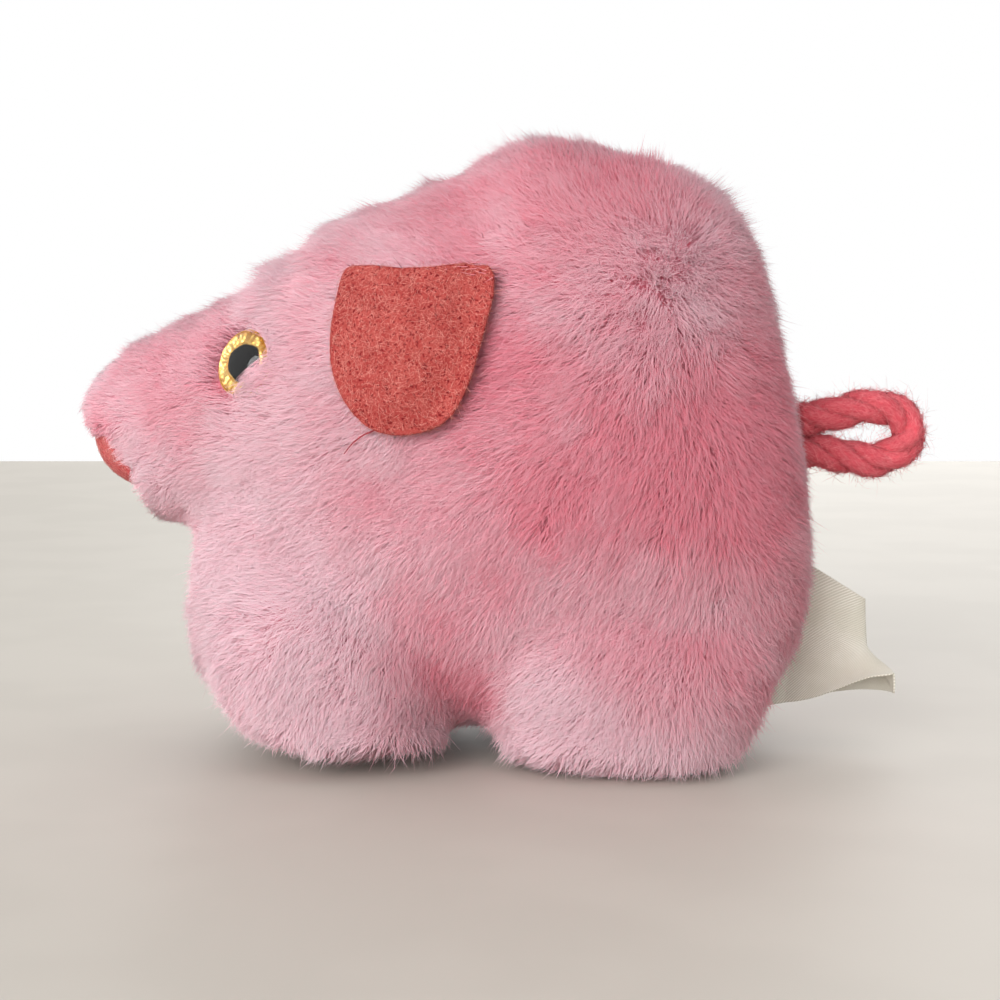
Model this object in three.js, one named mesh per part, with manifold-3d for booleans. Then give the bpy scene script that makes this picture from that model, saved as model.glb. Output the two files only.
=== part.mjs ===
// Small plush pig standing on four stub legs, snout towards -X, left side towards -Y.
// Lengths are millimetres, and x is measured back from the snout's tip until the last step.
// A value or table whose name ends in share or shares holds fractions of the size it follows.
import * as THREE from 'three';
import Module from 'manifold-3d';
import { mergeVertices } from 'three/addons/utils/BufferGeometryUtils.js';

const wasm = await Module();
wasm.setup();

// Fits shared by all the pieces
const gap = 0.3; // left between neighbours that touch
const overrun = 2; // how far a cut runs past the face it opens
const weld = 0.0001; // corners nearer than this are one corner

// Torso, measured over the pile
const torsoFront = 14.8; // snout's tip to chest
const torsoLength = 83.8;
const torsoBase = 5; // belly above the ground
const torsoHeight = 78.3;
const torsoWidth = 64;
const torsoPlush = 6; // backing and pile together
const torsoRoundness = 2.35; // 2 is an ellipse, more is squarer
const granuleLevel = 30; // top of the heavy filling above the ground

// Head, measured over the pile
const headLength = 64;
const headBase = 27.5;
const headHeight = 51;
const headWidth = 57;
const headPlush = 6;
const headRoundness = 2.2;

// Nose disc and the flat of pile round it
const noseRadius = 6.6;
const noseThickness = 1.4;
const noseCrownHeight = 0.5; // bulge of the disc's middle
const noseDrop = 31; // degrees that the nose looks down
const noseX = 4;
const noseZ = 40.4;
const noseSeatDepth = 0.9; // how deep the disc sits in the pile
const snoutRimWidth = 0.7;

// Legs, measured over the pile
const legPlush = 4.5;
const legRoundness = 2.5;
const legTaperShare = 0.12; // narrower at the foot
const footCut = 0.5; // how much of each foot is pressed flat
const frontLegLength = 30;
const frontLegWidth = 25;
const frontLegHeight = 29;
const frontLegX = 33.4;
const frontLegInset = 16.5; // from the flank to the leg's middle
const rearLegLength = 37.5;
const rearLegWidth = 26;
const rearLegHeight = 27;
const rearLegX = 76.2;
const rearLegInset = 14.5;

// Eyes
const eyeX = 23.4;
const eyeZ = 53.6;
const eyeRadius = 4.5;
const eyeRimHeight = 0.5;
const eyeLensHeight = 2.4;
const eyeDiscThickness = 0.8;
const eyeSeatDepth = 3.3; // pile pressed down under the eye
const stemRadius = 1.3;
const stemLength = 5.6;
const washerRadius = 4;
const washerThickness = 0.9;
const washerSeat = 2.2; // behind the eye's disc

// Ears, each flap hangs from its sewn top edge and lies on the cheek
const earX = 46.4;
const earZ = 65.6;
const earWidth = 20.6;
const earLength = 21;
const earThickness = 1.3;
const earClearance = 0.5; // from the pile to the flap
const earFootGap = 1; // how much further its lowest point stands off
const earSeamLength = 14.4; // stretch of the root that is sewn down

// Tail, a loop of yarn: x behind the rump and z above the ground, from the upper end to the lower
const yarnDiameter = 4;
const socketClearance = 0.3;
const tailRoute = [
  [0, 45.1],
  [3.7, 45.5],
  [7.6, 46.5],
  [11, 46.7],
  [13.8, 45.6],
  [15.1, 43.2],
  [13.9, 40.9],
  [11, 39.5],
  [7.6, 39.6],
  [3.7, 40.4],
  [0, 40.6],
];

// Label, a folded ribbon with both ends in the rear seam
const ribbonThickness = 0.3;
const ribbonLoop = 0.9; // half the opening between its layers
const ribbonFlare = 2.2; // extra opening at its lower corner
const ribbonCurl = 6; // how far that corner comes forward
const ribbonRootGap = 0.6;
const ribbonTop = 25; // upper end of its seam above the ground
const ribbonFoot = 5.4;
const ribbonLean = 2.1; // how far forward the seam's lower end is
const foldTopReach = 9.1;
const foldTopDrop = 5;
const foldFootReach = 14.2;
const foldFootRise = 2.6;

// Threads
const threadRadius = 0.35;
const threadSway = 0.9;
const stitchPitch = 3.6;
const threadClearance = 0.1; // clear of the flat facets under it
const earThreadHeight = 2.4; // above the ear's root
const bellySeamStart = 49;
const bellySeamLength = 18;

// Outline stations, nose end first: x and z of the top line, x and z of the bottom line, half width
const torsoShares = [
  [0, 0.18, 0, 0.18, 0],
  [0.026, 0.33, 0.014, 0.08, 0.41],
  [0.11, 0.52, 0.062, 0.02, 0.58],
  [0.229, 0.725, 0.169, 0.005, 0.7],
  [0.348, 0.88, 0.3, 0, 0.81],
  [0.468, 0.965, 0.432, 0.005, 0.91],
  [0.587, 1, 0.575, 0.01, 0.98],
  [0.718, 0.975, 0.706, 0.01, 1],
  [0.838, 0.925, 0.826, 0.01, 0.97],
  [0.915, 0.83, 0.915, 0.02, 0.88],
  [0.957, 0.7, 0.964, 0.06, 0.735],
  [0.981, 0.535, 0.993, 0.16, 0.47],
  [1, 0.33, 1, 0.33, 0],
];
const headShares = [
  [0.05, 0.48, 0.18, 0.096, 0.35],
  [0.148, 0.565, 0.25, 0.07, 0.456],
  [0.266, 0.637, 0.328, 0.04, 0.58],
  [0.375, 0.731, 0.422, 0.02, 0.72],
  [0.484, 0.84, 0.523, 0, 0.86],
  [0.625, 0.927, 0.64, 0, 0.965],
  [0.766, 1, 0.766, 0.05, 1],
  [0.89, 0.99, 0.875, 0.186, 0.91],
  [0.969, 0.833, 0.953, 0.4, 0.6],
  [1, 0.62, 1, 0.62, 0],
];

// Ear outline: across the root, and down from it
const earShares = [
  [-0.76, 0],
  [0, 0.02],
  [0.9, 0],
  [0.99, 0.1],
  [0.84, 0.43],
  [0.66, 0.72],
  [0.4, 0.92],
  [-0.06, 1],
  [-0.48, 0.97],
  [-0.8, 0.82],
  [-0.97, 0.62],
  [-1, 0.42],
  [-0.93, 0.18],
  [-0.86, 0.04],
];

// Where the middle of the ear's flap turns into its rim, and where a form's rump begins
const earRingShares = [0.25, 0.5, 0.75, 1];
const crestShare = 0.75;

// Facet counts
const torsoFacets = { rings: 24, sides: 28 };
const headFacets = { rings: 20, sides: 26 };
const legFacets = { rings: 12, sides: 20 };
const innerFacets = { rings: 12, sides: 16 };
const yarnFacets = { rings: 30, sides: 10 };
const ballFacets = { rings: 8, sides: 12 };
const ribbonFacets = { columns: 18, rows: 8 };
const roundSides = 24;
const domeRings = 6;
const crownRings = 5;
const earPoints = 34;
const threadSides = 6;
const bisections = 40;

const colours = {
  plush: 0xdf9aaa,
  stuffing: 0xf0ece4,
  granules: 0x8a6a45,
  felt: 0xc65c56,
  yarn: 0xbf4650,
  gold: 0xd9a441,
  clear: 0xe6ecef,
  washer: 0xd8d8d2,
  ribbon: 0xe4e0d4,
  redThread: 0xb3343c,
  pinkThread: 0xd98698,
};

const pig = new THREE.Group();

function material(colour, roughness, extra = {}) {
  return new THREE.MeshStandardMaterial({ color: colour, roughness, metalness: 0, ...extra });
}

function addPiece(name, geometry, look) {
  geometry.computeVertexNormals();
  const mesh = new THREE.Mesh(geometry, look);
  mesh.name = name;
  pig.add(mesh);
  return mesh;
}

// Joining and cutting

function toSolid(geometry) {
  const bare = geometry.clone();
  bare.deleteAttribute('normal');
  bare.deleteAttribute('uv');
  const merged = mergeVertices(bare, weld);
  return new wasm.Manifold(new wasm.Mesh({
    numProp: 3,
    vertProperties: merged.attributes.position.array,
    triVerts: Uint32Array.from(merged.index.array),
  }));
}

function toGeometry(solid) {
  const mesh = solid.getMesh();
  const geometry = new THREE.BufferGeometry();
  geometry.setAttribute('position', new THREE.BufferAttribute(mesh.vertProperties, 3));
  geometry.setIndex(new THREE.BufferAttribute(mesh.triVerts, 1));
  return geometry;
}

function cut(solid, ...tools) {
  return tools.reduce((left, tool) => left.subtract(tool), solid);
}

function mirrored(geometry) {
  const copy = geometry.clone().scale(1, -1, 1);
  const index = copy.index.array;
  for (let corner = 0; corner < index.length; corner += 3) {
    const first = index[corner];
    index[corner] = index[corner + 1];
    index[corner + 1] = first;
  }
  return copy;
}

// The same closed surface, moved out along its own normals
function grown(geometry, distance) {
  const copy = geometry.clone();
  copy.computeVertexNormals();
  const place = copy.attributes.position;
  const normal = copy.attributes.normal;
  for (let i = 0; i < place.count; i += 1) {
    place.setXYZ(
      i,
      place.getX(i) + normal.getX(i) * distance,
      place.getY(i) + normal.getY(i) * distance,
      place.getZ(i) + normal.getZ(i) * distance,
    );
  }
  return copy;
}

// The inside of a stuffed form: the same form, smaller by one wall all round
function inside(geometry, wall) {
  geometry.computeBoundingBox();
  const middle = geometry.boundingBox.getCenter(new THREE.Vector3());
  const size = geometry.boundingBox.getSize(new THREE.Vector3());
  return geometry.clone()
    .translate(-middle.x, -middle.y, -middle.z)
    .scale(1 - 2 * wall / size.x, 1 - 2 * wall / size.y, 1 - 2 * wall / size.z)
    .translate(middle.x, middle.y, middle.z);
}

// Skin over a row of rings, closed by a point at each end, with facets alike left and right
function closedLoft(firstPole, rings, lastPole) {
  const sides = rings[0].length;
  const points = [firstPole, ...rings.flat(), lastPole];
  const last = points.length - 1;
  const at = (ring, side) => 1 + ring * sides + side % sides;
  const index = [];
  for (let side = 0; side < sides; side += 1) {
    index.push(0, at(0, side + 1), at(0, side));
    index.push(last, at(rings.length - 1, side), at(rings.length - 1, side + 1));
    for (let ring = 0; ring < rings.length - 1; ring += 1) {
      const near = [at(ring, side), at(ring, side + 1)];
      const far = [at(ring + 1, side), at(ring + 1, side + 1)];
      if (points[near[0]].y + points[near[1]].y < 0) {
        index.push(near[0], near[1], far[0], near[1], far[1], far[0]);
      } else {
        index.push(near[0], near[1], far[1], near[0], far[1], far[0]);
      }
    }
  }
  const geometry = new THREE.BufferGeometry().setFromPoints(points);
  geometry.setIndex(index);
  return geometry;
}

function rounded(value, roundness) {
  return Math.sign(value) * Math.abs(value) ** (2 / roundness);
}

// Shares of a half turn that crowd rings towards both ends of a form
function crowded(step, steps) {
  return (1 - Math.cos(Math.PI * step / steps)) / 2;
}

// Stuffed forms between a top line and a bottom line

function stuffedForm(stations, roundness) {
  const last = stations.length - 1;
  const length = stations[last][0] - stations[0][0];
  const line = (points) => new THREE.CatmullRomCurve3(points);
  return {
    top: line(stations.map((s) => new THREE.Vector3(s[0], 0, s[1]))),
    foot: line(stations.map((s) => new THREE.Vector3(s[2], 0, s[3]))),
    half: line(stations.map((s, i) => new THREE.Vector3(length * i / last, s[4], 0))),
    roundness,
  };
}

function sectionAt(form, share) {
  const top = form.top.getPoint(share);
  const foot = form.foot.getPoint(share);
  return {
    middle: top.clone().add(foot).multiplyScalar(0.5),
    rise: top.clone().sub(foot).multiplyScalar(0.5),
    half: Math.max(0, form.half.getPoint(share).y),
  };
}

function formGeometry(form, facets) {
  const rings = [];
  for (let step = 1; step < facets.rings; step += 1) {
    const section = sectionAt(form, crowded(step, facets.rings));
    const ring = [];
    for (let side = 0; side < facets.sides; side += 1) {
      const angle = 2 * Math.PI * side / facets.sides;
      const point = section.middle.clone();
      point.addScaledVector(section.rise, rounded(Math.sin(angle), form.roundness));
      point.y = section.half * rounded(Math.cos(angle), form.roundness);
      ring.push(point);
    }
    rings.push(ring);
  }
  return closedLoft(form.top.getPoint(0), rings, form.top.getPoint(1));
}

// Half the form's width at a place seen from the side
function flankAt(form, x, z) {
  let low = 0;
  let high = 1;
  let flank = 0;
  for (let round = 0; round < bisections; round += 1) {
    const share = (low + high) / 2;
    const section = sectionAt(form, share);
    const rise = (z - section.middle.z) / section.rise.z;
    const found = section.middle.x + rise * section.rise.x;
    if (found < x) {
      low = share;
    } else {
      high = share;
    }
    const inset = Math.max(0, 1 - Math.abs(rise) ** form.roundness);
    flank = section.half * inset ** (1 / form.roundness);
  }
  return flank;
}

// The rear outline's x at a height, from the stretch between the back's crest and the rump
function rumpAt(form, z) {
  const pole = form.top.getPoint(1);
  const line = z > pole.z ? form.top : form.foot;
  const below = (point) => Math.abs(z - pole.z) - Math.abs(point.z - pole.z);
  return searchLine(line, below, crestShare).x;
}

// The bottom outline's z at a place along the form
function bellyAt(form, x) {
  return searchLine(form.foot, (point) => point.x - x, 0).z;
}

// The point of a line, past a share of it, where a measure goes from below zero to above
function searchLine(line, measure, startShare) {
  let low = startShare;
  let high = 1;
  for (let round = 0; round < bisections; round += 1) {
    const share = (low + high) / 2;
    if (measure(line.getPoint(share)) < 0) {
      low = share;
    } else {
      high = share;
    }
  }
  return line.getPoint(low);
}

const torsoForm = stuffedForm(
  torsoShares.map((s) => [
    torsoFront + s[0] * torsoLength,
    torsoBase + s[1] * torsoHeight,
    torsoFront + s[2] * torsoLength,
    torsoBase + s[3] * torsoHeight,
    s[4] * torsoWidth / 2,
  ]),
  torsoRoundness,
);

// The nose looks forward and down, and its own up runs in its plane
const noseTurn = THREE.MathUtils.degToRad(noseDrop);
const noseOut = new THREE.Vector3(-Math.cos(noseTurn), 0, -Math.sin(noseTurn));
const noseUp = new THREE.Vector3(-Math.sin(noseTurn), 0, Math.cos(noseTurn));
const noseMiddle = new THREE.Vector3(noseX, 0, noseZ);
const snoutRadius = noseRadius + snoutRimWidth;
const snoutTop = noseMiddle.clone().addScaledVector(noseUp, snoutRadius);
const snoutFoot = noseMiddle.clone().addScaledVector(noseUp, -snoutRadius);

const headForm = stuffedForm(
  [
    [noseX, noseZ, noseX, noseZ, 0],
    [snoutTop.x, snoutTop.z, snoutFoot.x, snoutFoot.z, snoutRadius],
    ...headShares.map((s) => [
      s[0] * headLength,
      headBase + s[1] * headHeight,
      s[2] * headLength,
      headBase + s[3] * headHeight,
      s[4] * headWidth / 2,
    ]),
  ],
  headRoundness,
);

const torsoOuter = formGeometry(torsoForm, torsoFacets);
const torsoInner = inside(formGeometry(torsoForm, innerFacets), torsoPlush);
const headOuter = formGeometry(headForm, headFacets);
const headInner = inside(formGeometry(headForm, innerFacets), headPlush);

const solids = {
  torso: toSolid(torsoOuter),
  torsoRoom: toSolid(torsoInner),
  torsoFill: toSolid(grown(torsoInner, -gap)),
  torsoGuard: toSolid(grown(torsoOuter, gap)),
  head: toSolid(headOuter),
  headRoom: toSolid(headInner),
  headFill: toSolid(grown(headInner, -gap)),
  headGuard: toSolid(grown(headOuter, gap)),
};

// A block wider than the pig, from one height down
function everythingBelow(level) {
  const depth = torsoHeight;
  const block = new THREE.BoxGeometry(4 * torsoLength, 4 * torsoWidth, depth);
  block.translate(torsoFront, 0, level - depth / 2);
  return toSolid(block);
}

// Legs

const frontLeg = {
  length: frontLegLength,
  width: frontLegWidth,
  height: frontLegHeight,
  x: frontLegX,
  y: torsoWidth / 2 - frontLegInset,
};
const rearLeg = {
  length: rearLegLength,
  width: rearLegWidth,
  height: rearLegHeight,
  x: rearLegX,
  y: torsoWidth / 2 - rearLegInset,
};

function legLobe(leg, wall, facets) {
  const rings = [];
  const foot = wall - footCut;
  const rise = leg.height - 2 * wall;
  for (let step = 1; step < facets.rings; step += 1) {
    const share = crowded(step, facets.rings);
    const level = 2 * share - 1;
    const inset = (1 - Math.abs(level) ** legRoundness) ** (1 / legRoundness);
    const swell = inset * (1 - legTaperShare * (1 - share));
    const ring = [];
    for (let side = 0; side < facets.sides; side += 1) {
      const angle = 2 * Math.PI * side / facets.sides;
      ring.push(new THREE.Vector3(
        leg.x + swell * (leg.length / 2 - wall) * rounded(Math.cos(angle), legRoundness),
        -leg.y + swell * (leg.width / 2 - wall) * rounded(Math.sin(angle), legRoundness),
        foot + share * rise,
      ));
    }
    rings.push(ring);
  }
  return closedLoft(
    new THREE.Vector3(leg.x, -leg.y, foot),
    rings,
    new THREE.Vector3(leg.x, -leg.y, foot + rise),
  );
}

function makeLeg(leg, name) {
  const outer = toSolid(legLobe(leg, 0, legFacets));
  const roomShape = legLobe(leg, legPlush, innerFacets);
  const room = toSolid(roomShape);
  const skin = cut(outer, everythingBelow(0), room, solids.torsoGuard, solids.headGuard);
  const fill = cut(toSolid(grown(roomShape, -gap)), solids.torsoRoom);
  for (const [side, turn] of [['left', (g) => g], ['right', mirrored]]) {
    addPiece(`${name}_leg_plush_${side}`, turn(toGeometry(skin)), material(colours.plush, 0.95));
    addPiece(`${name}_leg_stuffing_${side}`, turn(toGeometry(fill)), material(colours.stuffing, 0.95));
  }
  return [room, toSolid(mirrored(roomShape))];
}

// Eyes, built on the left side along their own outward axis

function outwardAt(form, x, z) {
  const step = gap;
  const flank = flankAt(form, x, z);
  const slopeX = (flankAt(form, x + step, z) - flankAt(form, x - step, z)) / (2 * step);
  const slopeZ = (flankAt(form, x, z + step) - flankAt(form, x, z - step)) / (2 * step);
  return {
    point: new THREE.Vector3(x, -flank, z),
    out: new THREE.Vector3(-slopeX, -1, -slopeZ).normalize(),
  };
}

function frameAlong(point, direction) {
  const up = new THREE.Vector3(0, 0, 1);
  const turn = new THREE.Quaternion().setFromUnitVectors(up, direction);
  return new THREE.Matrix4().makeRotationFromQuaternion(turn).setPosition(point);
}

// A turned profile of radius and height pairs, standing along Z
function turned(profile) {
  const points = profile.map(([radius, height]) => new THREE.Vector2(radius, height));
  return new THREE.LatheGeometry(points, roundSides).rotateX(Math.PI / 2);
}

function rod(radius, from, to) {
  return turned([[0, from], [radius, from], [radius, to], [0, to]]);
}

const eyeSeat = outwardAt(headForm, eyeX, eyeZ);
const eyeFrame = frameAlong(eyeSeat.point, eyeSeat.out);
const discBack = gap - eyeSeatDepth;
const discFront = discBack + eyeDiscThickness;
const lensBack = discFront + gap;
const washerFront = discBack - washerSeat;
const washerBack = washerFront - washerThickness;
const stemEnd = discBack - stemLength;

function makeEye() {
  const rim = eyeRimHeight;
  const dome = [];
  for (let step = 0; step <= domeRings; step += 1) {
    const angle = Math.PI / 2 * step / domeRings;
    dome.push([eyeRadius * Math.cos(angle), lensBack + rim + (eyeLensHeight - rim) * Math.sin(angle)]);
  }
  dome[domeRings][0] = 0;
  const lens = turned([[0, lensBack], [eyeRadius, lensBack], ...dome]);
  const disc = turned([
    [0, stemEnd],
    [stemRadius / 2, stemEnd],
    [stemRadius, stemEnd + stemRadius],
    [stemRadius, discBack],
    [eyeRadius, discBack],
    [eyeRadius, discFront],
    [0, discFront],
  ]);
  const washer = turned([
    [stemRadius + gap, washerBack],
    [washerRadius, washerBack],
    [washerRadius, washerFront],
    [stemRadius + gap, washerFront],
    [stemRadius + gap, washerBack],
  ]);
  const parts = { lens, disc, washer };
  for (const part of Object.values(parts)) {
    part.applyMatrix4(eyeFrame);
  }
  return parts;
}

const eye = makeEye();
const eyeWell = rod(eyeRadius + gap, -eyeSeatDepth, headPlush);
const stemHole = rod(stemRadius + gap, stemEnd - gap, overrun - eyeSeatDepth);
const washerRoom = rod(washerRadius + gap, washerBack - gap, discBack - gap);
const washerSlot = rod(washerRadius + gap, washerBack - gap, washerFront + gap);

function atBothEyes(...shapes) {
  return shapes.flatMap((shape) => {
    const placed = shape.clone().applyMatrix4(eyeFrame);
    return [toSolid(placed), toSolid(mirrored(placed))];
  });
}

// Nose

const noseFrame = frameAlong(noseMiddle, noseOut);
const noseWell = toSolid(rod(noseRadius + gap, -noseSeatDepth, overrun).applyMatrix4(noseFrame));

function makeNose() {
  const back = gap - noseSeatDepth;
  const front = back + noseThickness - noseCrownHeight;
  const profile = [[0, back], [noseRadius, back]];
  for (let step = 0; step < crownRings; step += 1) {
    const share = 1 - step / crownRings;
    profile.push([noseRadius * share, front + noseCrownHeight * (1 - share ** 2)]);
  }
  profile.push([0, front + noseCrownHeight]);
  return turned(profile).applyMatrix4(noseFrame);
}

// Ears

function cheekAt(x, z) {
  return Math.max(flankAt(headForm, x, z), flankAt(torsoForm, x, z));
}

function makeEar() {
  const outline = new THREE.CatmullRomCurve3(
    earShares.map(([across, down]) => new THREE.Vector3(
      earX + across * earWidth / 2,
      0,
      earZ - down * earLength,
    )),
    true,
  ).getPoints(earPoints).slice(0, -1).reverse();
  const heart = new THREE.Vector3(earX, 0, earZ - earLength / 2);
  const faceAt = (point, share, layer) => {
    const spot = heart.clone().lerp(point, share);
    const lift = earFootGap * (earZ - spot.z) / earLength;
    spot.y = -(cheekAt(spot.x, spot.z) + earClearance + lift + layer * earThickness);
    return spot;
  };
  const layerRings = (layer) => earRingShares.map(
    (share) => outline.map((point) => faceAt(point, share, layer)),
  );
  const rings = [...layerRings(0), ...layerRings(1).reverse()];
  return closedLoft(faceAt(heart, 1, 0), rings, faceAt(heart, 1, 1));
}

// A thread that follows a swaying line
function thread(points) {
  const path = new THREE.CatmullRomCurve3(points);
  const section = new THREE.Shape();
  section.absarc(0, 0, threadRadius, 0, 2 * Math.PI);
  return new THREE.ExtrudeGeometry(section, {
    steps: 2 * (points.length - 1),
    curveSegments: threadSides / 2,
    bevelEnabled: false,
    extrudePath: path,
  });
}

function makeEarThread() {
  const points = [];
  const count = Math.round(earSeamLength / stitchPitch) * 2;
  for (let step = 0; step <= count; step += 1) {
    const x = earX + (step / count - 0.5) * earSeamLength;
    const z = earZ + earThreadHeight + (step % 2) * threadSway;
    const seat = outwardAt(headForm, x, z);
    const stand = Math.max(0, cheekAt(x, z) - flankAt(headForm, x, z));
    points.push(seat.point.addScaledVector(seat.out, gap + threadRadius + threadClearance + stand));
  }
  return thread(points);
}

function makeBellyThread() {
  const points = [];
  const count = Math.round(bellySeamLength / stitchPitch) * 2;
  for (let step = 0; step <= count; step += 1) {
    const x = bellySeamStart + bellySeamLength * step / count;
    const sway = (step % 2 - 0.5) * threadSway;
    points.push(new THREE.Vector3(x, sway, bellyAt(torsoForm, x) - gap - threadRadius));
  }
  return thread(points);
}

// Tail

const rumpX = torsoFront + torsoLength;
const tailLine = new THREE.CatmullRomCurve3(
  tailRoute.map(([x, z]) => new THREE.Vector3(rumpX + x, 0, z)),
);
const tailEnds = [tailLine.getPoint(0), tailLine.getPoint(1)];

function ball(centre, radius) {
  const sphere = new THREE.SphereGeometry(radius, ballFacets.sides, ballFacets.rings);
  return toSolid(sphere.translate(centre.x, centre.y, centre.z));
}

function makeTail() {
  const section = new THREE.Shape();
  section.absarc(0, 0, yarnDiameter / 2, 0, 2 * Math.PI);
  const tube = new THREE.ExtrudeGeometry(section, {
    steps: yarnFacets.rings,
    curveSegments: yarnFacets.sides / 2,
    bevelEnabled: false,
    extrudePath: tailLine,
  });
  return tailEnds.reduce((solid, end) => solid.add(ball(end, yarnDiameter / 2)), toSolid(tube));
}

// Least gap between the two runs of the yarn, measured on points along it
function tailSelfGap() {
  const samples = 4 * yarnFacets.rings;
  const points = tailLine.getSpacedPoints(samples);
  const nextRun = Math.ceil(1.6 * yarnDiameter / (tailLine.getLength() / samples));
  let least = Infinity;
  for (let i = 0; i < points.length; i += 1) {
    for (let j = i + nextRun; j < points.length; j += 1) {
      least = Math.min(least, points[i].distanceTo(points[j]));
    }
  }
  return least - yarnDiameter;
}

// Label

const seamTop = new THREE.Vector3(rumpAt(torsoForm, ribbonTop) + ribbonRootGap, 0, ribbonTop);
const seamFoot = new THREE.Vector3(seamTop.x - ribbonLean, 0, ribbonFoot);
const foldTop = new THREE.Vector3(seamTop.x + foldTopReach, 0, ribbonTop - foldTopDrop);
const foldFoot = new THREE.Vector3(seamFoot.x + foldFootReach, 0, ribbonFoot + foldFootRise);

function ribbonPoint(along, down) {
  const out = Math.sin(Math.PI * along);
  const root = seamTop.clone().lerp(seamFoot, down);
  const fold = foldTop.clone().lerp(foldFoot, down);
  const point = root.lerp(fold, out);
  const open = ribbonLoop + ribbonFlare * down ** 2;
  const spread = -open * Math.sin(2 * Math.PI * along);
  const apart = (2 * along - 1) * (ribbonThickness + gap) / 2;
  point.y = spread + apart - ribbonCurl * down ** 2 * out ** 2;
  return point;
}

// A sheet with its own thickness on both sides of a middle surface
function sheetSolid(pointAt, { columns, rows }, thickness) {
  const step = 0.1 / (columns * rows);
  const points = [];
  for (const side of [-1, 1]) {
    for (let column = 0; column <= columns; column += 1) {
      for (let row = 0; row <= rows; row += 1) {
        const [u, v] = [column / columns, row / rows];
        const alongU = pointAt(Math.min(u + step, 1), v).sub(pointAt(Math.max(u - step, 0), v));
        const alongV = pointAt(u, Math.min(v + step, 1)).sub(pointAt(u, Math.max(v - step, 0)));
        const normal = alongU.cross(alongV).normalize();
        points.push(pointAt(u, v).addScaledVector(normal, side * thickness / 2));
      }
    }
  }
  const layer = (columns + 1) * (rows + 1);
  const at = (side, column, row) => side * layer + column * (rows + 1) + row;
  const index = [];
  const quad = (a, b, c, d) => index.push(a, b, c, a, c, d);
  for (let c = 0; c < columns; c += 1) {
    for (let r = 0; r < rows; r += 1) {
      quad(at(1, c, r), at(1, c + 1, r), at(1, c + 1, r + 1), at(1, c, r + 1));
      quad(at(0, c, r), at(0, c, r + 1), at(0, c + 1, r + 1), at(0, c + 1, r));
    }
    quad(at(0, c, 0), at(0, c + 1, 0), at(1, c + 1, 0), at(1, c, 0));
    quad(at(1, c, rows), at(1, c + 1, rows), at(0, c + 1, rows), at(0, c, rows));
  }
  for (let r = 0; r < rows; r += 1) {
    quad(at(0, 0, r + 1), at(0, 0, r), at(1, 0, r), at(1, 0, r + 1));
    quad(at(0, columns, r), at(0, columns, r + 1), at(1, columns, r + 1), at(1, columns, r));
  }
  const geometry = new THREE.BufferGeometry().setFromPoints(points);
  geometry.setIndex(index);
  return geometry;
}

// Assembly

const legRooms = [...makeLeg(frontLeg, 'front'), ...makeLeg(rearLeg, 'rear')];

const sockets = tailEnds.map((end) => ball(end, yarnDiameter / 2 + socketClearance));
const torsoSkin = cut(solids.torso, solids.torsoRoom, solids.headRoom, ...legRooms, ...sockets);
const headSkin = cut(
  solids.head,
  solids.headRoom,
  solids.torsoGuard,
  noseWell,
  ...atBothEyes(eyeWell, stemHole, washerSlot),
);
const headFill = cut(solids.headFill, solids.torsoRoom, ...atBothEyes(stemHole, washerRoom));
const upperFill = cut(solids.torsoFill, everythingBelow(granuleLevel + gap / 2));
const lowerFill = solids.torsoFill.intersect(everythingBelow(granuleLevel - gap / 2));

addPiece('torso_plush', toGeometry(torsoSkin), material(colours.plush, 0.95));
addPiece('torso_stuffing', toGeometry(upperFill), material(colours.stuffing, 0.95));
addPiece('granule_filling', toGeometry(lowerFill), material(colours.granules, 0.9));
addPiece('head_plush', toGeometry(headSkin), material(colours.plush, 0.95));
addPiece('head_stuffing', toGeometry(headFill), material(colours.stuffing, 0.95));
addPiece('nose_felt_disc', toGeometry(toSolid(makeNose())), material(colours.felt, 0.95));

const leftPieces = {
  eye_lens: [eye.lens, material(colours.clear, 0.05, { transparent: true, opacity: 0.35 })],
  eye_disc_and_stem: [eye.disc, material(colours.gold, 0.4)],
  eye_lock_washer: [eye.washer, material(colours.washer, 0.5)],
  ear: [makeEar(), material(colours.felt, 0.95)],
  ear_thread: [makeEarThread(), material(colours.redThread, 0.8)],
};
for (const [name, [shape, look]] of Object.entries(leftPieces)) {
  const clean = toGeometry(toSolid(shape));
  addPiece(`${name}_left`, clean, look);
  addPiece(`${name}_right`, mirrored(clean), look);
}

const tail = addPiece('tail_yarn', toGeometry(makeTail()), material(colours.yarn, 0.95));
const ribbon = cut(
  toSolid(sheetSolid(ribbonPoint, ribbonFacets, ribbonThickness)),
  toSolid(grown(torsoOuter, ribbonRootGap)),
);
addPiece('ribbon_label', toGeometry(ribbon), material(colours.ribbon, 0.7));
addPiece('belly_seam_thread', toGeometry(toSolid(makeBellyThread())), material(colours.pinkThread, 0.8));

console.log('tail least gap to itself', tailSelfGap().toFixed(2));

// The origin is under the middle of everything but the yarn
const box = new THREE.Box3();
for (const mesh of pig.children) {
  if (mesh !== tail) {
    box.expandByObject(mesh);
  }
}
const middle = box.getCenter(new THREE.Vector3());
pig.position.set(-middle.x, -middle.y, -box.min.z);

export default pig;
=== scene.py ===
import math

import bmesh
import bpy
import numpy as np
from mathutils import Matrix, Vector
from mathutils.bvhtree import BVHTree
from mathutils.kdtree import KDTree


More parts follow.
